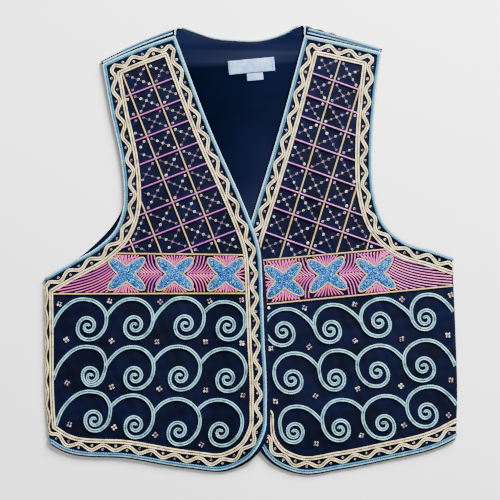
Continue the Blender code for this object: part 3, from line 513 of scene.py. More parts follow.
# Acetate taffeta: a soft satin sheen over shallow folds 60 to 90 mm apart. Its colour follows the folds'
# height, darker in their troughs and lighter on their crests: painted shade and light on the folds
taffeta, shader = new_finish("navy_taffeta", "#06102a", 0.62, Specular_IOR_Level=0.03)
where = put(taffeta, "TexCoord").outputs["Object"]
folds = put(taffeta, "TexNoise", {"Scale": 13.0, "Detail": 2.0, "Roughness": 0.4}, {"Vector": where})
# Painted shade and light: the folds' height sets the colour, darker low and lighter high
tone = put(taffeta, "ValToRGB", {"stops": [(0.3, "#010416"), (0.7, "#040920")]}, {0: folds})
grain = put(taffeta, "TexNoise", {"Scale": 900.0, "Detail": 1.0}, {"Vector": where})
fine = put(taffeta, "Bump", {"Strength": 0.2, "Distance": 0.0002}, {"Height": grain})
raised = put(taffeta, "Bump", {"Strength": 0.5, "Distance": 0.004}, {"Height": folds, "Normal": fine})
shaded(shader, tone, raised)
inner = rim + sideways(rim, closed=True) * LINING_INSET
shape = at_height(inner, LINING_LEVEL + LINING_WALL), [np.arange(len(inner))]
lining = sewn("cloth_lining", shape, taffeta, ["back_lining"], wall=LINING_WALL)

# Edge cord
# A two-ply pair laid side by side along every edge of each front: inside it a blue rayon cord, outside it a
# thinner pale one. Both are couched down and end at the side seam.
CORD_INSET = dict(hem=4.6, front=8.0, neck=3.4, shoulder=3.2, armhole=3.2)
# Which inset holds at each share of the opening's length
OPENING_STRETCHES = [(0.0, "hem"), (0.26, "hem"), (0.36, "front"), (0.58, "front"), (0.68, "neck"),
                     (1.0, "neck")]
# Per cord: tone, how far inside the middle of the pair it lies, radius, and the length of a turn of its ply
EDGE_CORDS = [("blue", 0.3, 1.3, 3.1), ("pale", -1.95, 0.88, 2.6)]
MULTIPLY = {"data_type": "RGBA", "blend_type": "MULTIPLY"}
# Spacing of a cord's sections, how far a trim stands off the cloth, and how high a cord's middle lies over
# its foot, as a share of its radius
CORD_STEP, TRIM_LIFT, CORD_SEAT = 0.8, 0.1, 0.92


def crossing(first, second):
    """Where two lines cross last, as positions along each, counted in points."""
    a, r = first[:-1, None], np.diff(first, axis=0)[:, None]
    b, s = second[None, :-1], np.diff(second, axis=0)[None]
    spread = r[..., 0] * s[..., 1] - r[..., 1] * s[..., 0]
    spread = np.where(np.abs(spread) < 1e-12, 1e-12, spread)
    gap = b - a
    t = (gap[..., 0] * s[..., 1] - gap[..., 1] * s[..., 0]) / spread
    w = (gap[..., 0] * r[..., 1] - gap[..., 1] * r[..., 0]) / spread
    i, j = np.argwhere((t >= 0) & (t < 1) & (w >= 0) & (w < 1))[-1]
    return i + t[i, j], j + w[i, j]


def border_lines(side, from_cord, side_inset=None):
    """Edges of a front moved in by the cord's inset and more, each cut where it meets the next.

    With a side inset the lines go all round; without one they end at the side's fold.
    """
    names = ["opening", "shoulder", "armhole", "side"]
    steps, beyond = 400, 30
    moved = []
    for name in names:
        line = at_fractions(OUTLINES[side][name], np.linspace(0, 1, steps))
        inset = np.full(steps, CORD_INSET.get(name, 0.0) + from_cord)
        if name == "side":
            inset = np.full(steps, side_inset or 0.3)
        if name == "opening":
            shares = [share for share, _ in OPENING_STRETCHES]
            widths = [CORD_INSET[part] for _, part in OPENING_STRETCHES]
            inset = np.interp(np.linspace(0, 1, steps), shares, widths) + from_cord
        line = line + sideways(line) * INWARD[side] * inset[:, None]
        before = line[0] - (line[1] - line[0]) * np.arange(beyond, 0, -1)[:, None]
        after = line[-1] + (line[-1] - line[-2]) * np.arange(1, beyond + 1)[:, None]
        moved.append(np.concatenate([before, line, after]))
    cuts = [[beyond + 1.0, len(line) - beyond - 2.0] for line in moved]
    for k in range(len(moved)):
        following = (k + 1) % len(moved)
        cuts[k][1], cuts[following][0] = crossing(moved[k], moved[following])
    lines = []
    for line, (start, end) in zip(moved, cuts):
        wanted = np.concatenate([[start], np.arange(int(np.floor(start)) + 1, int(np.ceil(end))), [end]])
        places = np.arange(len(line))
        lines.append(np.stack([np.interp(wanted, places, values) for values in line.T], axis=1))
    return lines if side_inset else lines[:3]


def ring(count):
    """The numbers of a ring's points, and of the point after each."""
    return np.arange(count), (np.arange(count) + 1) % count


def tubed(points, reach, closed=False):
    """Points, faces and weave of a trim from its sections, a row of points at each distance along it."""
    count, sides = points.shape[:2]
    here = np.arange(count if closed else count - 1)[:, None] * sides
    there = (here + sides) % (count * sides)
    k, after = ring(sides)
    faces = np.stack([here + k, there + k, there + after, here + after], axis=-1).reshape(-1, 4).tolist()
    if not closed:
        faces += [list(range(sides)), list(range((count - 1) * sides, count * sides))[::-1]]
    weave = np.zeros((count, sides, 3))
    weave[..., 0], weave[..., 1] = reach[:, None], k / (sides - 1)
    return points.reshape(-1, 3), faces, weave.reshape(-1, 3)


def swept(side, line, section, closed=False, base=0.0):
    """A trim: its section, one or a row of them, carried along a plan line.

    Each point goes square to the line by the section's first number and out of the cloth by its second.
    """
    flat = unrolled(side, line[:-1] if closed else line)
    section = np.broadcast_to(section, (len(flat),) + np.shape(section)[-2:])
    across = flat[:, None] + sideways(flat, closed)[:, None] * section[..., :1]
    return tubed(placed(side, across, section[..., 1] + base), reach_along(flat), closed)


def gathered(parts):
    """Several meshes put together as one: points, faces and weave."""
    points, faces, weave, first = [], [], [], 0
    for part_points, part_faces, part_weave in parts:
        faces += [[first + corner for corner in face] for face in part_faces]
        points.append(part_points)
        weave.append(part_weave)
        first += len(part_points)
    return np.concatenate(points), faces, np.concatenate(weave)


def twisted_section(line, radius, lay, sides=10):
    """Sections of a two-ply cord: a circle whose radius swells twice round, turning once every two lays."""
    reach = reach_along(line)[:, None]
    turn = np.radians(np.linspace(250, -70, sides))[None]
    grown = radius * (1 + 0.13 * np.cos(2 * turn - 2 * np.pi * reach / lay))
    return np.stack([-grown * np.cos(turn), radius * CORD_SEAT + grown * np.sin(turn)], axis=-1)[:, ::-1]


def weave_of(finish):
    """The three numbers of a trim's weave: mm along it, place round its section from 0 to 1, and its tone."""
    weave = put(finish, "Attribute", {"attribute_name": "weave"})
    return put(finish, "SeparateXYZ", links={0: weave.outputs["Vector"]}).outputs


def stripe_share(finish, along, lay, across, slant):
    """Place in a slanting stripe, 0 to 1: the fraction in length over lay, plus slant times across."""
    turns = put(finish, "Math", {"operation": "DIVIDE", 1: lay}, {0: along})
    phase = put(finish, "Math", {"operation": "MULTIPLY_ADD", 1: slant}, {0: across, 2: turns})
    return put(finish, "Math", {"operation": "FRACT"}, {0: phase})


def twisted_finish(name, light, dark, lay, roughness):
    """Twisted yarn with painted shade: a stripe of shade between the plies that turns with the ply, its phase
    the length over its lay.
    """
    finish, shader = new_finish(name, light, roughness, Sheen_Weight=0.15, Specular_IOR_Level=0.45)
    along, around, _ = weave_of(finish)
    share = stripe_share(finish, along, lay, around, 1.8)
    # The deep ends of the stripe are painted shade in the groove between the plies
    tones = [(0.0, dark), (0.22, light), (0.78, light), (1.0, dark)]
    stripe = put(finish, "ValToRGB", {"stops": tones}, {0: share})
    where = put(finish, "TexCoord").outputs["Object"]
    speck = put(finish, "TexNoise", {"Scale": 420.0, "Detail": 2.0}, {"Vector": where})
    shade = put(finish, "ValToRGB", {"stops": [(0.25, "#a8a8a8"), (0.7, "#ffffff")]}, {0: speck})
    mixed = put(finish, "Mix", {**MULTIPLY, 0: 0.75}, {6: stripe, 7: shade})
    shaded(shader, mixed.outputs[2])
    return finish


# Rayon cord, two-ply: a satin yarn whose plies catch the light, with painted shade between them in slanting
# stripes
cord_finishes = {"blue": twisted_finish("blue_rayon_cord", "#146a94", "#052a42", 3.1, 0.38),
                 "pale": twisted_finish("pale_rayon_cord", "#b4e0ea", "#2c6c8c", 2.6, 0.38)}
for side in ("left", "right"):
    for tone, offset, radius, lay in EDGE_CORDS:
        line = with_spacing(joined(*border_lines(side, offset)), CORD_STEP)
        cord = swept(side, line, twisted_section(line, radius, lay))
        sewn("edge_cord_%s_%s" % (tone, side), cord, cord_finishes[tone],
             ["edge_cord_" + side] if tone == "blue" else ())

# Straight and wavy braid
# Cream soutache, a flat braid of two ribs with a tan groove, where it is stitched down. The straight braid
# runs all round inside the cord, and the wavy one swings to and fro between them.
CORD_TO_BRAID, CORD_TO_WAVE, SIDE_BRAID, SIDE_WAVE = 15.6, 7.4, 7.4, 1.4
WAVE_LENGTH, WAVE_SWING, SIDE_SWING = 29.7, 3.1, 0.9
UNDER_LAP, LAP_HIDES = 6.5, (-206.0, -120.0)
STRAIGHT_SIZE, WAVY_SIZE, BRAID_STEP = (4.9, 1.9), (4.1, 1.8), 0.9
SOUTACHE = np.array([(-0.5, 0.0), (-0.49, 0.5), (-0.37, 0.92), (-0.23, 0.92), (-0.1, 0.45), (0.0, 0.22),
                     (0.1, 0.45), (0.23, 0.92), (0.37, 0.92), (0.49, 0.5), (0.5, 0.0)])
PLAIT = 2.7


def soutache_section(line, width, height):
    """Sections of a soutache braid: two ribs whose height and width swell with each plait along them."""
    reach = reach_along(line)[:, None]
    slope = np.abs(SOUTACHE[:, 0])[None] * 2.2
    swell = 1 + 0.14 * np.cos(2 * np.pi * (reach / PLAIT - slope))
    across = SOUTACHE[:, 0] * width * (1 + 0.05 * np.cos(2 * np.pi * reach / PLAIT))
    return np.stack([across, SOUTACHE[:, 1] * height * swell], axis=-1)


def soutache_finish(name, rib, groove, rim):
    """Soutache in its tones by the distance from its middle: a dark groove, partly its stitches and partly
    painted shade, light ribs, and rims darkened as painted shade; and a line of painted shade in the crevice
    of each plait.

    Painted shade darkens some stretches, 5 to 15 mm each, and leaves brighter ones between them as painted
    highlights.
    """
    finish, shader = new_finish(name, rib, 0.42, Sheen_Weight=0.15, Specular_IOR_Level=0.4)
    along, around, _ = weave_of(finish)
    centred = put(finish, "Math", {"operation": "SUBTRACT", 1: 0.5}, {0: around})
    beside = put(finish, "Math", {"operation": "ABSOLUTE"}, {0: centred})
    # Painted shade: the groove, partly its stitches, and the rims where the braid turns down to the cloth are
    # darker
    tones = [(0.0, groove), (0.1, groove), (0.17, rib), (0.32, rib), (0.42, rim)]
    tone = put(finish, "ValToRGB", {"stops": tones}, {0: beside})
    # Painted shade: a line in the crevice between plaits
    lines = [(0.0, "#6a655c"), (0.2, "#ffffff"), (0.8, "#ffffff"), (1.0, "#6a655c")]
    plait = put(finish, "ValToRGB", {"stops": lines}, {0: stripe_share(finish, along, PLAIT, beside, -1.8)})
    mixed = put(finish, "Mix", {**MULTIPLY, 0: 0.6}, {6: tone, 7: plait})
    # Painted light and shade along the braid: darker stretches of 5 to 15 mm between brighter ones
    highlight_noise = put(finish, "TexNoise", {"Scale": 130.0, "Detail": 2.0},
                 {"Vector": put(finish, "TexCoord").outputs["Object"]})
    lengths = [(0.34, "#8c8478"), (0.5, "#e6e2da"), (0.6, "#ffffff")]
    shade = put(finish, "ValToRGB", {"stops": lengths}, {0: highlight_noise})
    painted_light_tone = put(finish, "Mix", {**MULTIPLY, 0: 0.75}, {6: mixed.outputs[2], 7: shade})
    shaded(shader, painted_light_tone.outputs[2])
    return finish


def wave_line(side):
    """The wavy braid's middle, a cosine swing across the border that eases to nothing at each corner.

    With it come the places of the beads in its hollows, one at each turn of the swing.
    """
    waves, beads = [], []
    lines = border_lines(side, CORD_TO_WAVE, SIDE_WAVE if side == "right" else None)
    for name, line in zip(("opening", "shoulder", "armhole", "side"), lines):
        length = reach_along(line)[-1]
        count = max(int(round(length / WAVE_LENGTH)), 2)
        base = with_spacing(line, CORD_STEP)
        turns = np.linspace(0, count, len(base))
        inward = sideways(base) * INWARD[side]
        swing = (SIDE_SWING if name == "side" else WAVE_SWING) * np.cos(2 * np.pi * (turns + 0.125))
        swing = swing * ease(np.minimum(turns, count - turns) * 4)
        waves.append(base - inward * swing[:, None])
        if name != "side":
            for start, away in ((0.875, 2.5), (0.375, -2.0)):
                wanted = np.arange(start, count - 0.2, 1.0) / count
                beads.append(at_fractions(base, wanted) + at_fractions(inward, wanted) * away)
    return joined(*waves), np.concatenate(beads)


# Soutache of cotton and rayon: cream ribs with a soft sheen, and a groove full of tan stitches, painted
# deeper brown as shade; painted shade also darkens its rims
cream = soutache_finish("cream_soutache", "#fff1bc", "#56380c", "#6e5018")
BRAID_MIDDLES, WAVE_BEADS = {}, {}
for side in ("left", "right"):
    closed = side == "right"
    middle = joined(*border_lines(side, CORD_TO_BRAID, SIDE_BRAID if closed else None))
    middle = with_spacing(middle, BRAID_STEP)
    if side == "left":
        # The lap hides the braid, which comes out from under it near the hem
        low, high = LAP_HIDES
        hidden = ease((middle[:, 1] - low) / 14) * ease((high - middle[:, 1]) / 30) * (middle[:, 0] < 45)
        middle[:, 0] -= UNDER_LAP * hidden
    wave, WAVE_BEADS[side] = wave_line(side)
    BRAID_MIDDLES[side] = middle
    wave = with_spacing(wave, BRAID_STEP)
    for name, line, size in (("straight", middle, STRAIGHT_SIZE), ("wavy", wave, WAVY_SIZE)):
        section = soutache_section(line[:-1] if closed else line, *size)
        braid = swept(side, line, section, closed, base=TRIM_LIFT)
        sewn("soutache_%s_%s" % (name, side), braid, cream, ["%s_braid_%s" % (name, side)])

# Running scrolls
# Aqua soutache laid in three rows of scrolls on each front. Every scroll is its own length, which leaves
# from beside the last one, goes over its crest and winds in to its eye in two turns.
SCROLL_WIDTH, SCROLL_HEIGHT = 4.2, 1.9
SCROLL_EYES = {
    "right": [[(-202.2, -96.3), (-144.0, -95.3), (-81.6, -94.3), (-29.4, -96.3)],
              [(-198.4, -158.1), (-144.0, -158.1), (-88.4, -158.1), (-30.4, -160.9)],
              [(-194.3, -212.1), (-144.1, -218.8), (-90.0, -225.7), (-38.2, -226.8)]],
    "left": [[(215.3, -86.9), (158.0, -90.8), (98.0, -101.1), (39.3, -102.7)],
             [(212.7, -146.1), (155.6, -152.5), (103.9, -161.4), (50.1, -162.4)],
             [(216.1, -203.2), (163.4, -217.4), (109.3, -223.0), (53.0, -227.3)]],
}
# Each scroll's radius over its crest, how wide its coil is against the usual, and how far the first lead of
# each row flares; then the usual radius by the degrees turned past the crest
SCROLL_CRESTS = {
    "right": [[33.8, 33.5, 33.8, 30.8], [37.0, 37.0, 37.6, 37.6], [35.6, 38.0, 40.5, 40.5]],
    "left": [[30.5, 29.1, 32.0, 28.3], [33.2, 33.2, 36.0, 33.4], [32.9, 35.9, 36.7, 32.6]],
}
SCROLL_COILS = {
    "right": [[1.07, 1.03, 1.06, 1.06], [0.72, 1.0, 1.08, 1.0], [0.86, 0.96, 1.08, 1.1]],
    "left": [[0.85, 1.15, 0.96, 1.12], [1.13, 1.17, 0.86, 1.02], [1.12, 1.14, 0.93, 0.8]],
}
SCROLL_RADII = [(-128, 48.5), (-110, 44.5), (-90, 39.6), (-60, 36.4), (-15, 37.0), (15, 35.2), (45, 30.0),
                (75, 23.3), (105, 18.8), (150, 15.6), (210, 14.1), (270, 11.9), (360, 11.1), (405, 9.7),
                (450, 7.8), (540, 5.6), (630, 4.2), (720, 3.2), (790, 2.2)]
FIRST_LEAD_FLARE = {"right": [0.045, 0.065, 0.065], "left": [-0.01, 0.005, 0.03]}
USUAL_CREST = 36.5
# How many points of a scroll come before its coil, how long its start stays low, and how far it has to keep
# from the cord under the flowers and from a scroll above
LEAD_POINTS, TUCK, CLEAR = 40, 6.0, 1.4
# How much a coil is drawn in at a time, how near a lead comes to the scroll beside it where it meets it, the
# points over which it is pulled onto it, and how much and how far a scroll narrows to its eye
DRAWN_IN, MEETING, PULL_POINTS = 0.985, 1.2, 26.0
EYE_NARROWS, EYE_LENGTH = 0.22, 25.0
BAND = {
    "right": dict(top=[(-176.0, -5.4), (-10.1, -7.4)], foot=[(-250.0, -55.6), (-4.3, -54.8)],
                  flowers=[(-154.5, -30.8), (-95.0, -30.8), (-31.4, -31.5)], turn=0.0),
    "left": dict(top=[(4.0, -15.0), (175.0, 0.4)], foot=[(8.0, -69.3), (249.0, -45.7)],
                 flowers=[(153.6, -30.8), (93.4, -31.8), (40.3, -39.1)], turn=5.0),
}


def inside(points, loop):
    """Whether each point lies within a closed loop, by counting the sides that pass to its right."""
    x, y = points[:, :1], points[:, 1:]
    x0, y0 = loop.T
    x1, y1 = np.roll(loop, -1, axis=0).T
    rise = np.where(y1 == y0, 1.0, y1 - y0)
    passes = ((y0 > y) != (y1 > y)) & (x < x0 + (y - y0) / rise * (x1 - x0))
    return passes.sum(1) % 2 == 1


def runs(keep):
    """Start and end of each unbroken run of True, where the end is the place after its last."""
    return np.flatnonzero(np.diff(np.concatenate([[0], keep.astype(int), [0]]))).reshape(-1, 2)


def longest_run(keep):
    """Start and end of the longest unbroken run of True."""
    found = runs(keep)
    return found[(found[:, 1] - found[:, 0]).argmax()]


def scroll_line(eye, side, flare, crest, coil):
    """One scroll's middle: its radius round the eye goes by the table as it turns, in steps of two degrees.

    A bell curve about the crest brings it from the usual crest to its own, and an eased factor its coil.
    """
    radii = smooth_line(SCROLL_RADII)
    turned = np.arange(radii[0, 0], radii[-1, 0], 2.0)
    radius = np.interp(turned, radii[:, 0], radii[:, 1])
    radius = radius + (crest - USUAL_CREST) * np.exp(-((turned - 5) / 70) ** 2)
    radius = radius * (1 + (coil - 1) * ease((turned - 10) / 70) * ease((330 - turned) / 110))
    radius = radius + flare * np.maximum(-turned, 0.0)
    angle = np.radians(90.0 - turned)
    return np.array(eye) + np.stack([INWARD[side] * np.cos(angle), np.sin(angle)], axis=1) * radius[:, None]


def too_near(line, border, foot, above, margin):
    """Whether each point of a scroll touches the border, the cord under the flowers or a scroll above."""
    near = ~inside(line, border) | (distance_to(line, border) < margin)
    near |= distance_to(line, foot) < SCROLL_WIDTH / 2 + CLEAR
    for other in above:
        near |= distance_to(line, other[::3]) < SCROLL_WIDTH + CLEAR
    return near


# Aqua soutache: the same braid in pale aqua, its groove and rims painted a deeper blue green as shade
aqua = soutache_finish("aqua_soutache", "#8ac8d6", "#0c344c", "#1a566e")
for side in ("left", "right"):
    border, foot, above = BRAID_MIDDLES[side][::6], np.array(BAND[side]["foot"]), []
    if side == "left":
        # The lap hides the braid here, so the scrolls run nearer the opening
        nearer = np.where(border[:, 1] > -125, 2.6, 5.6) * (border[:, 0] < 50)
        border = border - np.stack([nearer, 0 * nearer], axis=1)
    rows = zip(SCROLL_EYES[side], SCROLL_CRESTS[side], SCROLL_COILS[side], FIRST_LEAD_FLARE[side])
    for row, (eyes, crests, coils, flare) in enumerate(rows, 1):
        laid = []
        for place, (eye, crest, coil) in enumerate(zip(eyes, crests, coils), 1):
            line = scroll_line(eye, side, 0.0 if laid else flare, crest, coil)
            # Where the coil touches something it is drawn in towards its eye, a little at a time
            for _ in range(30):
                near = too_near(line, border, foot, above, SCROLL_WIDTH / 2 + 2.6)
                near[:LEAD_POINTS] = False
                if not near.any():
                    break
                line[near] = eye + (line[near] - eye) * DRAWN_IN
            # The start may run on to the border's braid, or to the middle of the scroll beside it
            margin = np.where(np.arange(len(line)) < LEAD_POINTS, 1.6, SCROLL_WIDTH / 2 + 2.4)
            start, end = longest_run(~too_near(line, border, foot, above, margin))
            if laid:
                beside = laid[-1]
                # The lead starts where it meets that scroll, and is pulled onto its middle
                gap = distance_to(line[:LEAD_POINTS + 14], beside[::3])
                met = np.flatnonzero(gap < MEETING)
                start = max(start, met[-1] if len(met) else gap.argmin())
                miss = beside[np.hypot(*(beside - line[start]).T).argmin()] - line[start]
                pull = ease(1 - np.arange(len(line) - start) / PULL_POINTS)
                line[start:] = line[start:] + miss * pull[:, None]
            laid.append(line[start:end])
            line = with_spacing(laid[-1], BRAID_STEP)
            section = soutache_section(line, SCROLL_WIDTH, SCROLL_HEIGHT)
            reach = reach_along(line)
            section[..., 0] *= 1 - EYE_NARROWS * ease((reach - reach[-1]) / EYE_LENGTH + 1)[:, None]
            section[..., 1] *= 0.25 + 0.75 * ease(reach / TUCK)[:, None]
            braid = swept(side, line, section, base=TRIM_LIFT)
            sewn("soutache_scroll_%s_%d%d" % (side, row, place), braid, aqua,
                 ["scroll_%s_%d%d" % (side, row, place)])
        above = laid

# Trellis
# Above the band, pink and gold two-ply cords cross in a slanting trellis. The gold ones are couched down
# first, and the pink ones lie over them and are caught down at each crossing.
FINE_RADIUS, FINE_LAY, PINK_OVER_GOLD = 0.85, 2.0, 0.7
# Each front's cords by a point they are counted from, their leans in degrees, where each gold cord crosses
# the point's height and where each pink one crosses below or above the point
LATTICE = {
    "right": dict(datum=(-125.2, 60.6), lean=(21.0, 21.4), gold=[-65.0, -98.4, -137.1, -169.5],
                  pink=[199.9, 169.7, 140.4, 108.9, 79.0, 46.7, 14.5, -17.8]),
    "left": dict(datum=(97.3, 60.6), lean=(-19.6, -17.0), gold=[57.2, 91.1, 125.2, 160.8],
                 pink=[209.4, 179.8, 151.5, 120.3, 88.9, 55.5, 26.3, -7.7]),
}


def above_band(side, points, clear):
    """Whether each point lies inside the straight braid and above the band by a clearance."""
    top, braid = np.array(BAND[side]["top"]), BRAID_MIDDLES[side][::3]
    over = points[:, 1] > np.interp(points[:, 0], top[:, 0], top[:, 1]) + clear
    return over & (distance_to(points, braid) > 1.2 + clear) & inside(points, braid)


def fine_cord(side, line, keep, base):
    """A fine twisted cord along the longest unbroken run of the points of a line that are kept."""
    start, end = longest_run(keep)
    line = with_spacing(line[start:end], CORD_STEP)
    return swept(side, line, twisted_section(line, FINE_RADIUS, FINE_LAY, 8), base=base)


# Gold and pink rayon cord, tightly twisted, with a soft lustre, and painted shade between its plies in
# slanting stripes
gold_cord = twisted_finish("gold_rayon_cord", "#ccae6e", "#52381c", FINE_LAY, 0.35)
pink_cord = twisted_finish("pink_rayon_cord", "#b04ca6", "#501e6a", FINE_LAY, 0.35)
for side in ("left", "right"):
    row = LATTICE[side]
    gold = [((x, row["datum"][1]), row["lean"][1] - 90.0) for x in row["gold"]]
    pink = [((row["datum"][0], y), row["lean"][0]) for y in row["pink"]]
    for name, lines, finish, base in (("gold", gold, gold_cord, 0.0),
                                      ("pink", pink, pink_cord, PINK_OVER_GOLD)):
        parts = []
        for middle, lean in lines:
            along = np.array([np.cos(np.radians(lean)), np.sin(np.radians(lean))])
            line = np.array(middle) + np.arange(-260.0, 260.0)[:, None] * along
            parts.append(fine_cord(side, line, above_band(side, line, 1.0), base))
        sewn("trellis_%s_%s" % (name, side), gathered(parts), finish,
             ["lattice_" + side] if name == "gold" else ())

# Band cords
# A gold cord above and below the row of flowers, from the front edge's braid to the armhole's and the side.
for side in ("left", "right"):
    braid = BRAID_MIDDLES[side][::3]
    for name in ("top", "foot"):
        line = with_spacing(np.array(BAND[side][name]), 1.0)
        cord = fine_cord(side, line, inside(line, braid) & (distance_to(line, braid) > 2.2), TRIM_LIFT)
        sewn("gold_band_cord_%s_%s" % (name, side), cord, gold_cord,
             ["band_cord_%s_%s" % (name, side)])

# Bead crosses of the trellis, and beads of the wavy braid
# Small pink-lined silver ring beads. In each opening of the trellis two strings of them cross, on a thread
# that shows between them; along the wavy braid one is sewn into each of its hollows.
BEAD_RADIUS, BEAD_TUBE = 1.12, 0.44
# A string's beads as shares of its length; the trellis's openings go on past its outer cords by these steps
STRING_BEADS = np.array([0.15, 0.325, 0.5, 0.675, 0.85])
GOLD_STEP, PINK_STEP = 34.0, 30.0


def toned(points, faces, chance):
    """Points, faces and weave of small pieces, a row of points each, every piece in a random tone."""
    weave = np.zeros(points.shape)
    weave[..., 2] = chance.uniform(0, 1, (len(points), 1))
    return points.reshape(-1, 3), faces, weave.reshape(-1, 3)


def beads_at(side, middles, radius=BEAD_RADIUS, tube=BEAD_TUBE, seed=3):
    """Ring beads lying on the cloth: a circle of circles round each middle, eight by five points."""
    chance = np.random.default_rng(seed)
    around = np.radians(np.arange(8) * 45.0)[:, None]
    about = np.radians(np.arange(5) * 72.0)[None]
    out, up = radius + tube * np.cos(about), tube * (1 + np.sin(about)) + 0 * around
    circles = np.stack([out * np.cos(around), out * np.sin(around), up], axis=-1).reshape(1, -1, 3)
    size = chance.uniform(0.88, 1.12, (len(middles), 1))
    tilt = chance.uniform(-0.22, 0.22, (len(middles), 2))
    flat = unrolled(side, np.asarray(middles))[:, None] + circles[..., :2] * size[..., None]
    rise = circles[..., 2] * size + (circles[..., :2] * tilt[:, None]).sum(-1) + tube * 0.5
    step = np.arange(40).reshape(8, 5)
    beside = np.roll(step, -1, 0)
    faces = np.stack([step, beside, np.roll(beside, -1, 1), np.roll(step, -1, 1)], axis=-1).reshape(1, -1, 4)
    faces = (faces + np.arange(len(middles))[:, None, None] * 40).reshape(-1, 4)
    return toned(placed(side, flat, rise), faces.tolist(), chance)


# Silver-lined glass: bright, slightly pink, each bead its own tone
silver_glass, shader = new_finish("silver_lined_glass", "#c3aebc", 0.22, Metallic=0.35, Coat_Weight=0.6,
                                  Coat_Roughness=0.08)
tones = [(0.0, "#5e4c58"), (0.5, "#907c80"), (0.85, "#b8a8a4"), (1.0, "#ece4dc")]
shaded(shader, put(silver_glass, "ValToRGB", {"stops": tones}, {0: weave_of(silver_glass)[2]}))
thread_finish = new_finish("grey_polyester_thread", "#4c4662", 0.5)[0]
THREAD = np.array([(-0.22, 0.0), (0.0, 0.4), (0.22, 0.0)])
for side in ("left", "right"):
    row = LATTICE[side]
    step = GOLD_STEP * INWARD[side]
    gold = np.array([row["gold"][0] + step] + row["gold"] + [row["gold"][-1] - step])
    pink = np.array([row["pink"][0] + PINK_STEP] + row["pink"] + [row["pink"][-1] - PINK_STEP])
    slope, lean = np.tan(np.radians(row["lean"]))
    x = (gold[None] - (pink[:, None] - row["datum"][0] * slope - row["datum"][1]) * lean) / (1 + slope * lean)
    corners = np.stack([x, pink[:, None] + (x - row["datum"][0]) * slope], axis=-1)
    # Both strings cross the middle of an opening, and only the first has a bead there
    strings = [(corners[:-1, :-1], corners[1:, 1:], STRING_BEADS),
               (corners[:-1, 1:], corners[1:, :-1], np.delete(STRING_BEADS, 2))]
    middles, threads = [], []
    for start, end, shares in strings:
        start, end = start.reshape(-1, 1, 2), end.reshape(-1, 1, 2)
        middles.append((start + (end - start) * shares[None, :, None]).reshape(-1, 2))
        for line in start + (end - start) * np.linspace(STRING_BEADS[0], STRING_BEADS[-1], 18)[None, :, None]:
            keep = above_band(side, line, 3.6)
            first, last = longest_run(keep) if keep.any() else (0, 0)
            if last > first + 3:
                threads.append(swept(side, line[first:last], THREAD, base=0.3))
    middles = np.concatenate(middles)
    middles = np.concatenate([middles[above_band(side, middles, 3.4)], WAVE_BEADS[side]])
    sewn("bead_thread_" + side, gathered(threads), thread_finish)
    sewn("ring_beads_" + side, beads_at(side, middles), silver_glass)

# Flowers of the band
# Four-petalled leaves cut from padding and sewn down, filled with tiny blue beads, each with a cream cord
# laid round its rim. Their petals are blunt leaf shapes towards the corners of the band.
PETAL_REACH, PETAL_HALF_WIDTH, PETAL_FULLNESS = (22.3, 19.4), 7.0, (0.26, 0.46)
# The pad's rings from its foot to its top, as shares of its outline and rises in mm
PAD_RINGS = np.array([(1.0, 0.0), (0.97, 0.6), (0.8, 0.9), (0.5, 1.1), (0.2, 1.2)])
SEED_BEAD, SEED_PITCH = 0.82, 1.62


def flower_rim(points_a_side=26):
    """Outline of a flower about its middle: four leaves, each cut off where it meets the next at a notch."""
    reach = np.hypot(*PETAL_REACH)
    start, blunt = PETAL_FULLNESS
    share = np.linspace(0.01, 1.0, 400)
    half_width = PETAL_HALF_WIDTH * np.clip(np.sin(np.pi * (start + (1 - start) * share)), 0, 1) ** blunt
    points = []
    for quarter, sign in enumerate(np.array([(1, 1), (-1, 1), (-1, -1), (1, -1)])):
        axis = np.array(PETAL_REACH) / reach * sign
        square = np.array([-axis[1], axis[0]])
        notches = []
        for limit in (np.array([0.0, sign[1]]), np.array([sign[0], 0.0])):
            edge = axis * reach * share[:, None] + square * np.sign(limit @ square) * half_width[:, None]
            met = np.flatnonzero((edge * (limit == 0)).sum(1) * sign[limit == 0][0] > 0)[0]
            notches.append(edge[np.linspace(met, len(share) - 1, points_a_side).astype(int)])
        order = notches if quarter in (1, 3) else notches[::-1]
        points.append(np.concatenate([order[0], order[1][::-1][1:-1]]))
    return np.concatenate(points)


def turned(side, offsets):
    """Offsets from a flower's middle, turned with its band."""
    turn = np.radians(BAND[side]["turn"])
    return offsets @ np.array([[np.cos(turn), np.sin(turn)], [-np.sin(turn), np.cos(turn)]])


def seeds_at(side, middles, rises, seed):
    """Seed beads: a low sphere round each middle, six points round each of three rings, and two poles."""
    chance = np.random.default_rng(seed)
    up = np.radians([-50.0, 0.0, 50.0])[:, None]
    around = np.radians(np.arange(6) * 60.0)[None]
    out, high = np.cos(up), np.sin(up) + 0 * around
    ball = np.stack([out * np.cos(around), out * np.sin(around), high], axis=-1).reshape(-1, 3)
    ball = np.concatenate([ball, [(0, 0, -1), (0, 0, 1)]])[None] * SEED_BEAD
    size = chance.uniform(0.85, 1.12, (len(middles), 1))
    flat = unrolled(side, middles)[:, None] + ball[..., :2] * size[..., None]
    points = placed(side, flat, ball[..., 2] * size + rises[:, None])
    k, after = ring(6)
    sides = np.concatenate([np.stack([k, after, after + 6, k + 6], axis=-1) + start for start in (0, 6)])
    ends = np.concatenate([np.stack([after, k, 0 * k + 18], axis=-1),
                           np.stack([k + 12, after + 12, 0 * k + 19], axis=-1)])
    first = np.arange(len(middles))[:, None, None] * 20
    faces = (sides[None] + first).reshape(-1, 4).tolist() + (ends[None] + first).reshape(-1, 3).tolist()
    return toned(points, faces, chance)
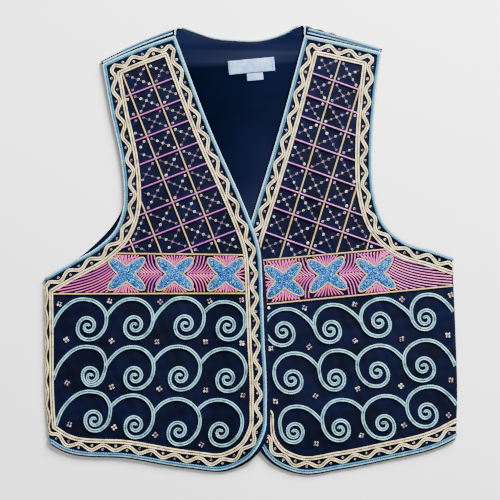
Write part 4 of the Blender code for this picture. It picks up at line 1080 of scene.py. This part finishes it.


# Blue glass seed beads: clear and bright, from deep blue to pale sky, with a few painted near white as
# glints: painted highlights
seed_glass, shader = new_finish("blue_seed_glass", "#3f93d4", 0.18, Coat_Weight=0.5, Coat_Roughness=0.06)
# The near-white last stop is a painted highlight on a few beads
tones = [(0.0, "#041c50"), (0.24, "#083e86"), (0.62, "#0c60aa"), (0.92, "#1a84bc"), (0.98, "#50acd0"),
         (1.0, "#b4dcea")]
shaded(shader, put(seed_glass, "ValToRGB", {"stops": tones}, {0: weave_of(seed_glass)[2]}))
pad_finish = new_finish("blue_felt_pad", "#1d5c9c", 0.8, Sheen_Weight=0.2)[0]
RIM = flower_rim()
for side in ("left", "right"):
    border = BRAID_MIDDLES[side][::4]
    for number, middle in enumerate(BAND[side]["flowers"], 1):
        name = "%s_%d" % (side, number)
        offsets = turned(side, RIM)
        # A petal that would touch the braid is drawn in towards the flower's middle
        for _ in range(40):
            near = (distance_to(offsets + middle, border) < 3.4) | ~inside(offsets + middle, border)
            offsets[near] *= 0.97
        count = len(offsets)
        plan = (offsets[None] * PAD_RINGS[:, :1, None]).reshape(-1, 2)
        rise = np.append(np.repeat(PAD_RINGS[:, 1], count), PAD_RINGS[-1, 1]) + 0.1
        points = placed(side, unrolled(side, np.concatenate([plan, [(0.0, 0.0)]]) + middle), rise)
        k, after = ring(count)
        faces = [np.stack([k, after, after + count, k + count], axis=-1) + step * count for step in range(4)]
        top = np.stack([k + 4 * count, after + 4 * count, 0 * k + 5 * count], axis=-1)
        faces = np.concatenate(faces).tolist() + top.tolist() + [k[::-1].tolist()]
        sewn("flower_pad_" + name, (points, faces), pad_finish, ["flower_" + name])
        row, column = np.mgrid[-16:17, -18:19]
        seeds = np.stack([column + 0.5 * (row % 2), row * 0.87], axis=-1).reshape(-1, 2) * SEED_PITCH
        seeds = seeds + np.random.default_rng(number).uniform(-0.2, 0.2, seeds.shape)
        seeds = seeds[inside(seeds, offsets) & (distance_to(seeds, looped(offsets)) > 1.35)]
        rises = 0.75 + 0.9 * ease(distance_to(seeds, looped(offsets)) / 5.0)
        sewn("seed_beads_" + name, seeds_at(side, seeds + middle, rises, number), seed_glass)
        line = with_spacing(looped(offsets) + middle, CORD_STEP)
        cord = swept(side, line, twisted_section(line[:-1], 0.8, 1.8, 8), True, base=TRIM_LIFT)
        sewn("flower_cord_" + name, cord, gold_cord)

# Feather stitch of the band
# Pink rayon floss in long stitches side by side, with the dark cloth between them. They spring from the
# notches above and below a flower, nest round the sides of the middle one, and sweep out to the side.
FEATHER_SIZE, FEATHER_PITCH = (1.7, 0.95), 4.0


def sprung(start, bend, end):
    """A quadratic curve from a start to an end, drawn towards its bend."""
    t = np.linspace(0, 1, 24)[:, None]
    return (1 - t) ** 2 * np.array(start) + 2 * t * (1 - t) * np.array(bend) + t ** 2 * np.array(end)


def feather_lines(place, outward):
    """Stitches about a flower's middle, which is the outer, middle or inner one of its band.

    Fans are quadratic curves from a notch. Round the middle flower a stitch's distance out is its number
    times the pitch, plus a length that nears its full size exponentially away from the flower's axis. From
    the outer flower each stitch falls away steeply at first and then ever more gently, by an exponential.
    """
    lines = [sprung((0.6 * share, 7.6 * up), (share * 6.0, 14.0 * up), (share * 18.0, 26.0 * up))
             for up in (-1.0, 1.0) for share in np.linspace(-1, 1, 9)]
    if place == 1:
        y = np.linspace(-27.0, 27.0, 80)
        for number in range(15):
            out = 10.8 + FEATHER_PITCH * number + 14.5 * (1 - np.exp(-np.abs(y) / 7.0))
            lines += [np.stack([out, y], axis=1), np.stack([-out, y], axis=1)]
    if place == 2:
        lines += [sprung((9.8, 0.4 * share), (15.0, share * 5.0), (29.0, share * 24.0)) * (-outward, 1)
                  for share in np.linspace(-1, 1, 7)]
    if place == 0:
        out = np.linspace(8.0, 104.0, 110)
        fall = 27.0 * (1 - np.exp(-(out - 8.0) / 28.0)) + 0.10 * (out - 8.0)
        lines += [np.stack([outward * out, start - fall], axis=1)
                  for start in np.arange(-26.0, 50.0, FEATHER_PITCH * 0.88)]
    return lines


# Rayon floss in pinks: glossy flat strands, each its own tone, with a painted highlight along each strand's
# top and painted shade at its edges
pink_floss, shader = new_finish("pink_rayon_floss", "#d98fc6", 0.36, Specular_IOR_Level=0.45)
_, around, tone = weave_of(pink_floss)
tones = [(0.0, "#a03a86"), (0.45, "#bc5096"), (0.75, "#c45088"), (1.0, "#c44860")]
tone = put(pink_floss, "ValToRGB", {"stops": tones}, {0: tone})
# Painted highlight along each strand's top, painted shade at its edges
ridge = [(0.0, "#6a6a6a"), (0.35, "#ffffff"), (0.65, "#ffffff"), (1.0, "#6a6a6a")]
ridge = put(pink_floss, "ValToRGB", {"stops": ridge}, {0: around})
shaded(shader, put(pink_floss, "Mix", {**MULTIPLY, 0: 0.8}, {6: tone, 7: ridge}).outputs[2])
section = np.array([(-0.5, 0.0), (-0.3, 0.75), (0.0, 1.0), (0.3, 0.75), (0.5, 0.0)]) * FEATHER_SIZE
chance = np.random.default_rng(8)
for side in ("left", "right"):
    stitches = []
    top, foot = np.array(BAND[side]["top"]), np.array(BAND[side]["foot"])
    middles, border = BAND[side]["flowers"], BRAID_MIDDLES[side][::3]
    loops = [turned(side, RIM) + other for other in middles]
    for place, middle in enumerate(middles):
        for offsets in feather_lines(place, -INWARD[side]):
            line = with_spacing(turned(side, offsets) + middle, 1.0)
            keep = line[:, 1] < np.interp(line[:, 0], top[:, 0], top[:, 1]) - 1.3
            keep &= line[:, 1] > np.interp(line[:, 0], foot[:, 0], foot[:, 1]) + 1.3
            keep &= inside(line, border) & (distance_to(line, border) > 2.5)
            for loop in loops:
                keep &= ~inside(line, loop) & (distance_to(line, looped(loop)) > 1.1)
            for start, end in runs(keep):
                if end - start > 3:
                    stitches.append(swept(side, line[start:end], section, base=TRIM_LIFT))
                    stitches[-1][2][:, 2] = chance.uniform(0, 1)
    sewn("feather_stitch_" + side, gathered(stitches), pink_floss)

# Bead clusters between the scrolls
# Four of the small ring beads sewn close together, and one round white bead beside the front edge.
# The middle of each cluster is counted in steps of 1.236 mm, across and down
SPOT_MIDDLE, SPOT_SIZE = (251.3, 249.0), (1.236, -1.236)
# Radius and tube of a cluster's beads and of the white bead, and a cluster's beads' distance from its middle
CLUSTER_BEAD, WHITE_BEAD, CLUSTER_REACH = (0.85, 0.6), (0.95, 0.93), 2.3
CLUSTERS = {
    "right": [(59.5, 304), (109.8, 301), (160.3, 302), (209.5, 301), (241.6, 300), (66.3, 340), (111.6, 341),
              (156.9, 342), (205.6, 342), (241.9, 343), (67, 383), (111.6, 387), (159.5, 389), (205.6, 390),
              (242.8, 395), (69.4, 424.5), (114.2, 427.5), (155.3, 435), (201.4, 444.5)],
    "left": [(304.6, 308), (354.5, 304.5), (401.9, 299.4), (450.5, 295), (270.8, 348.5), (309.1, 347),
             (354.8, 340.8), (401.4, 339), (447.8, 335.3), (275.4, 401.5), (315.3, 396), (357.7, 389),
             (401.1, 386), (450.8, 380.2), (316.2, 443.7), (361.5, 435.3), (404, 425.4), (448.6, 415.3)],
}
for side, spots in CLUSTERS.items():
    middles = (np.array(spots) - SPOT_MIDDLE) * SPOT_SIZE
    turn = np.random.default_rng(5).uniform(0, np.pi / 2, len(middles))[:, None]
    turn = turn + np.radians([45, 135, 225, 315])
    four = middles[:, None] + np.stack([np.cos(turn), np.sin(turn)], axis=-1) * CLUSTER_REACH
    beads = beads_at(side, four.reshape(-1, 2), *CLUSTER_BEAD, seed=11)
    sewn("bead_clusters_" + side, beads, silver_glass)
pearl = new_finish("white_glass_bead", "#f4f6fa", 0.2, Coat_Weight=0.6, Coat_Roughness=0.08)[0]
sewn("white_bead", beads_at("left", np.array([(21.5, -72.9)]), *WHITE_BEAD), pearl)

# Back neck and shoulder cords
# A fine pale cord edges the back neck. The back's own edge cord, blue and pale, comes over each shoulder on
# the strip, and on the left a little of the back's wavy braid shows over the fold.
NECK_CORD = 2.6
# Per side: name, tone, share of the strip's width, extra inward, radius, first and last share of its length
STRIP_CORDS = {
    "right": [("blue", 0.0, -1.3, 1.3, 0.3, 0.97), ("pale", 0.4, -0.1, 0.8, 0.02, 0.98)],
    "left": [("blue", 0.2, -0.4, 1.7, 0.03, 0.97), ("pale", 0.62, 0.0, 0.8, 0.02, 0.97)],
}


def free_cord(line, radius, lay, sides=10):
    """A twisted cord along points in space, its sides square to them in plan."""
    section = twisted_section(line, radius, lay, sides)
    square = sideways(line[:, :2])[:, None]
    points = np.concatenate([line[:, None, :2] + square * section[..., :1],
                             line[:, None, 2:] + section[..., 1:] - radius * CORD_SEAT], axis=-1)
    return tubed(points, reach_along(line))


neck = with_spacing(smooth_line(BACK_NECK), CORD_STEP)
neck = neck + sideways(neck) * (NECK_CORD / 2 + 0.6)
cord = free_cord(at_height(neck, NECK_CORD / 2 + 0.1), NECK_CORD / 2, 2.6)
sewn("pale_neck_cord", cord, cord_finishes["pale"], ["back_neck_cord"])
for side, cords in STRIP_CORDS.items():
    for tone, part, extra, radius, first, last in cords:
        share = np.linspace(first, last, 150)
        inward = strip_width(side, share) * part + extra
        line = shoulder_line(side, slanted(side, share, TURN_STEPS + 1), inward)
        cord = free_cord(at_height(line, FRONT_TOP + radius * CORD_SEAT), radius, 2.8)
        sewn("shoulder_cord_%s_%s" % (tone, side), cord, cord_finishes[tone],
             ["back_shoulder_cord_" + side] if tone == "pale" else ())
# A cord closes each strip's end at the neck and goes round the fold with it
for side in STRIP_CORDS:
    steps = np.linspace(1.6, TURN_STEPS + 1, 40)
    angle = np.pi * np.minimum(steps, TURN_STEPS) / TURN_STEPS
    inward = -TURN_RADIUS * np.sin(angle) + np.maximum(steps - TURN_STEPS, 0.0) * strip_width(side, 1.0)
    line = shoulder_line(side, slanted(side, 1.0, steps), inward)
    cord = free_cord(at_height(line, TURN_RADIUS * (1 - np.cos(angle)) + 0.8), 0.85, 2.6)
    sewn("strip_end_cord_" + side, cord, cord_finishes["pale"])
# On the left a little of the back's wavy braid shows over the fold
share = np.linspace(0.5, 0.93, 110)
line = shoulder_line("left", share, -2.2 + 0.7 * np.sin(np.linspace(0, 19, 110)))
sewn("back_wavy_braid", free_cord(at_height(line, FRONT_TOP - 0.9), 1.0, 2.7), cream)

# Neck label and size tab
# A woven white satin label, its ends folded under and stitched to the lining, left bare. Below it a small
# tab of the same tape is folded double and sewn in by its top.
LABEL_TURN = np.radians(5.3)
LABEL_MIDDLE, LABEL_SIZE = (0.2, 226.4), (56.9, 16.7)
TAB_MIDDLE, TAB_SIZE = (4.6, 213.0), (19.8, 8.8)
LABEL_LEVEL = LINING_LEVEL + LINING_WALL + SEAM_GAP


def on_tape(middle, x, y, height):
    """Points of a tape: places along and across it, turned with the label about a middle, and heights."""
    x, y, height = np.broadcast_arrays(x, y, height)
    c, s = np.cos(LABEL_TURN), np.sin(LABEL_TURN)
    return np.stack([x * c - y * s + middle[0], x * s + y * c + middle[1], height], axis=-1)


# Woven satin tape: white, close ribs 0.5 mm apart drawn at 1.2 mm. Its colour is painted a mottled blue grey
# all over: painted shade with a blue cast
satin, shader = new_finish("white_satin_tape", "#e4e8f0", 0.5)
where = put(satin, "TexCoord").outputs["Object"]
ribs = put(satin, "TexWave", {"Scale": 260.0, "Distortion": 0.3, "bands_direction": "Y"}, {"Vector": where})
mottle = put(satin, "TexNoise", {"Scale": 160.0, "Detail": 2.0}, {"Vector": where})
# Painted shade with a blue cast, mottled, in place of the tape's white
tone = put(satin, "ValToRGB", {"stops": [(0.3, "#5f7cb2"), (0.65, "#88a2ce")]}, {0: mottle})
shaded(shader, tone, put(satin, "Bump", {"Strength": 0.25, "Distance": 0.0003}, {"Height": ribs.outputs[1]}))
# The label is crowned along its middle and thicker where its ends are folded under
u, v = np.linspace(-0.5, 0.5, 61), np.linspace(-0.5, 0.5, 19)[:, None]
height = 0.5 * np.clip(np.cos(np.pi * u), 0, 1) * (1 - (2 * v) ** 4) + 0.25 * (np.abs(u) > 0.44)
crown = on_tape(LABEL_MIDDLE, u * LABEL_SIZE[0], v * LABEL_SIZE[1], LABEL_LEVEL + 0.7 + height)
label = sewn("woven_label", (crown, grid_faces(19, 61)), satin, ["neck_label"], wall=0.6)
# The tab runs down its lower layer and back up its upper one
turn = np.linspace(0, 2, 41)[:, None]
height = LABEL_LEVEL + 0.35 + 0.95 * ease((turn - 0.93) / 0.14)
u, v = np.linspace(-0.5, 0.5, 15), np.abs(turn - 1) - 0.5
fold = on_tape(TAB_MIDDLE, u * TAB_SIZE[0], v * TAB_SIZE[1], height)
tab = sewn("folded_size_tab", (fold, grid_faces(41, 15, flip=True)), satin, ["size_tab"], wall=0.3)
STITCH = np.array([(-0.9, 0.2, 0.0), (0.0, 0.0, 0.3), (0.9, -0.2, 0.0)])
stitches = []
for end in (-1.0, 1.0):
    for row in np.linspace(-0.42, 0.42, 8):
        middle = on_tape(LABEL_MIDDLE, end * LABEL_SIZE[0] * 0.465, row * LABEL_SIZE[1], LABEL_LEVEL + 1.0)
        stitches.append(free_cord(middle + STITCH, 0.28, 2.0, 5))
sewn("label_stitches", gathered(stitches), thread_finish)
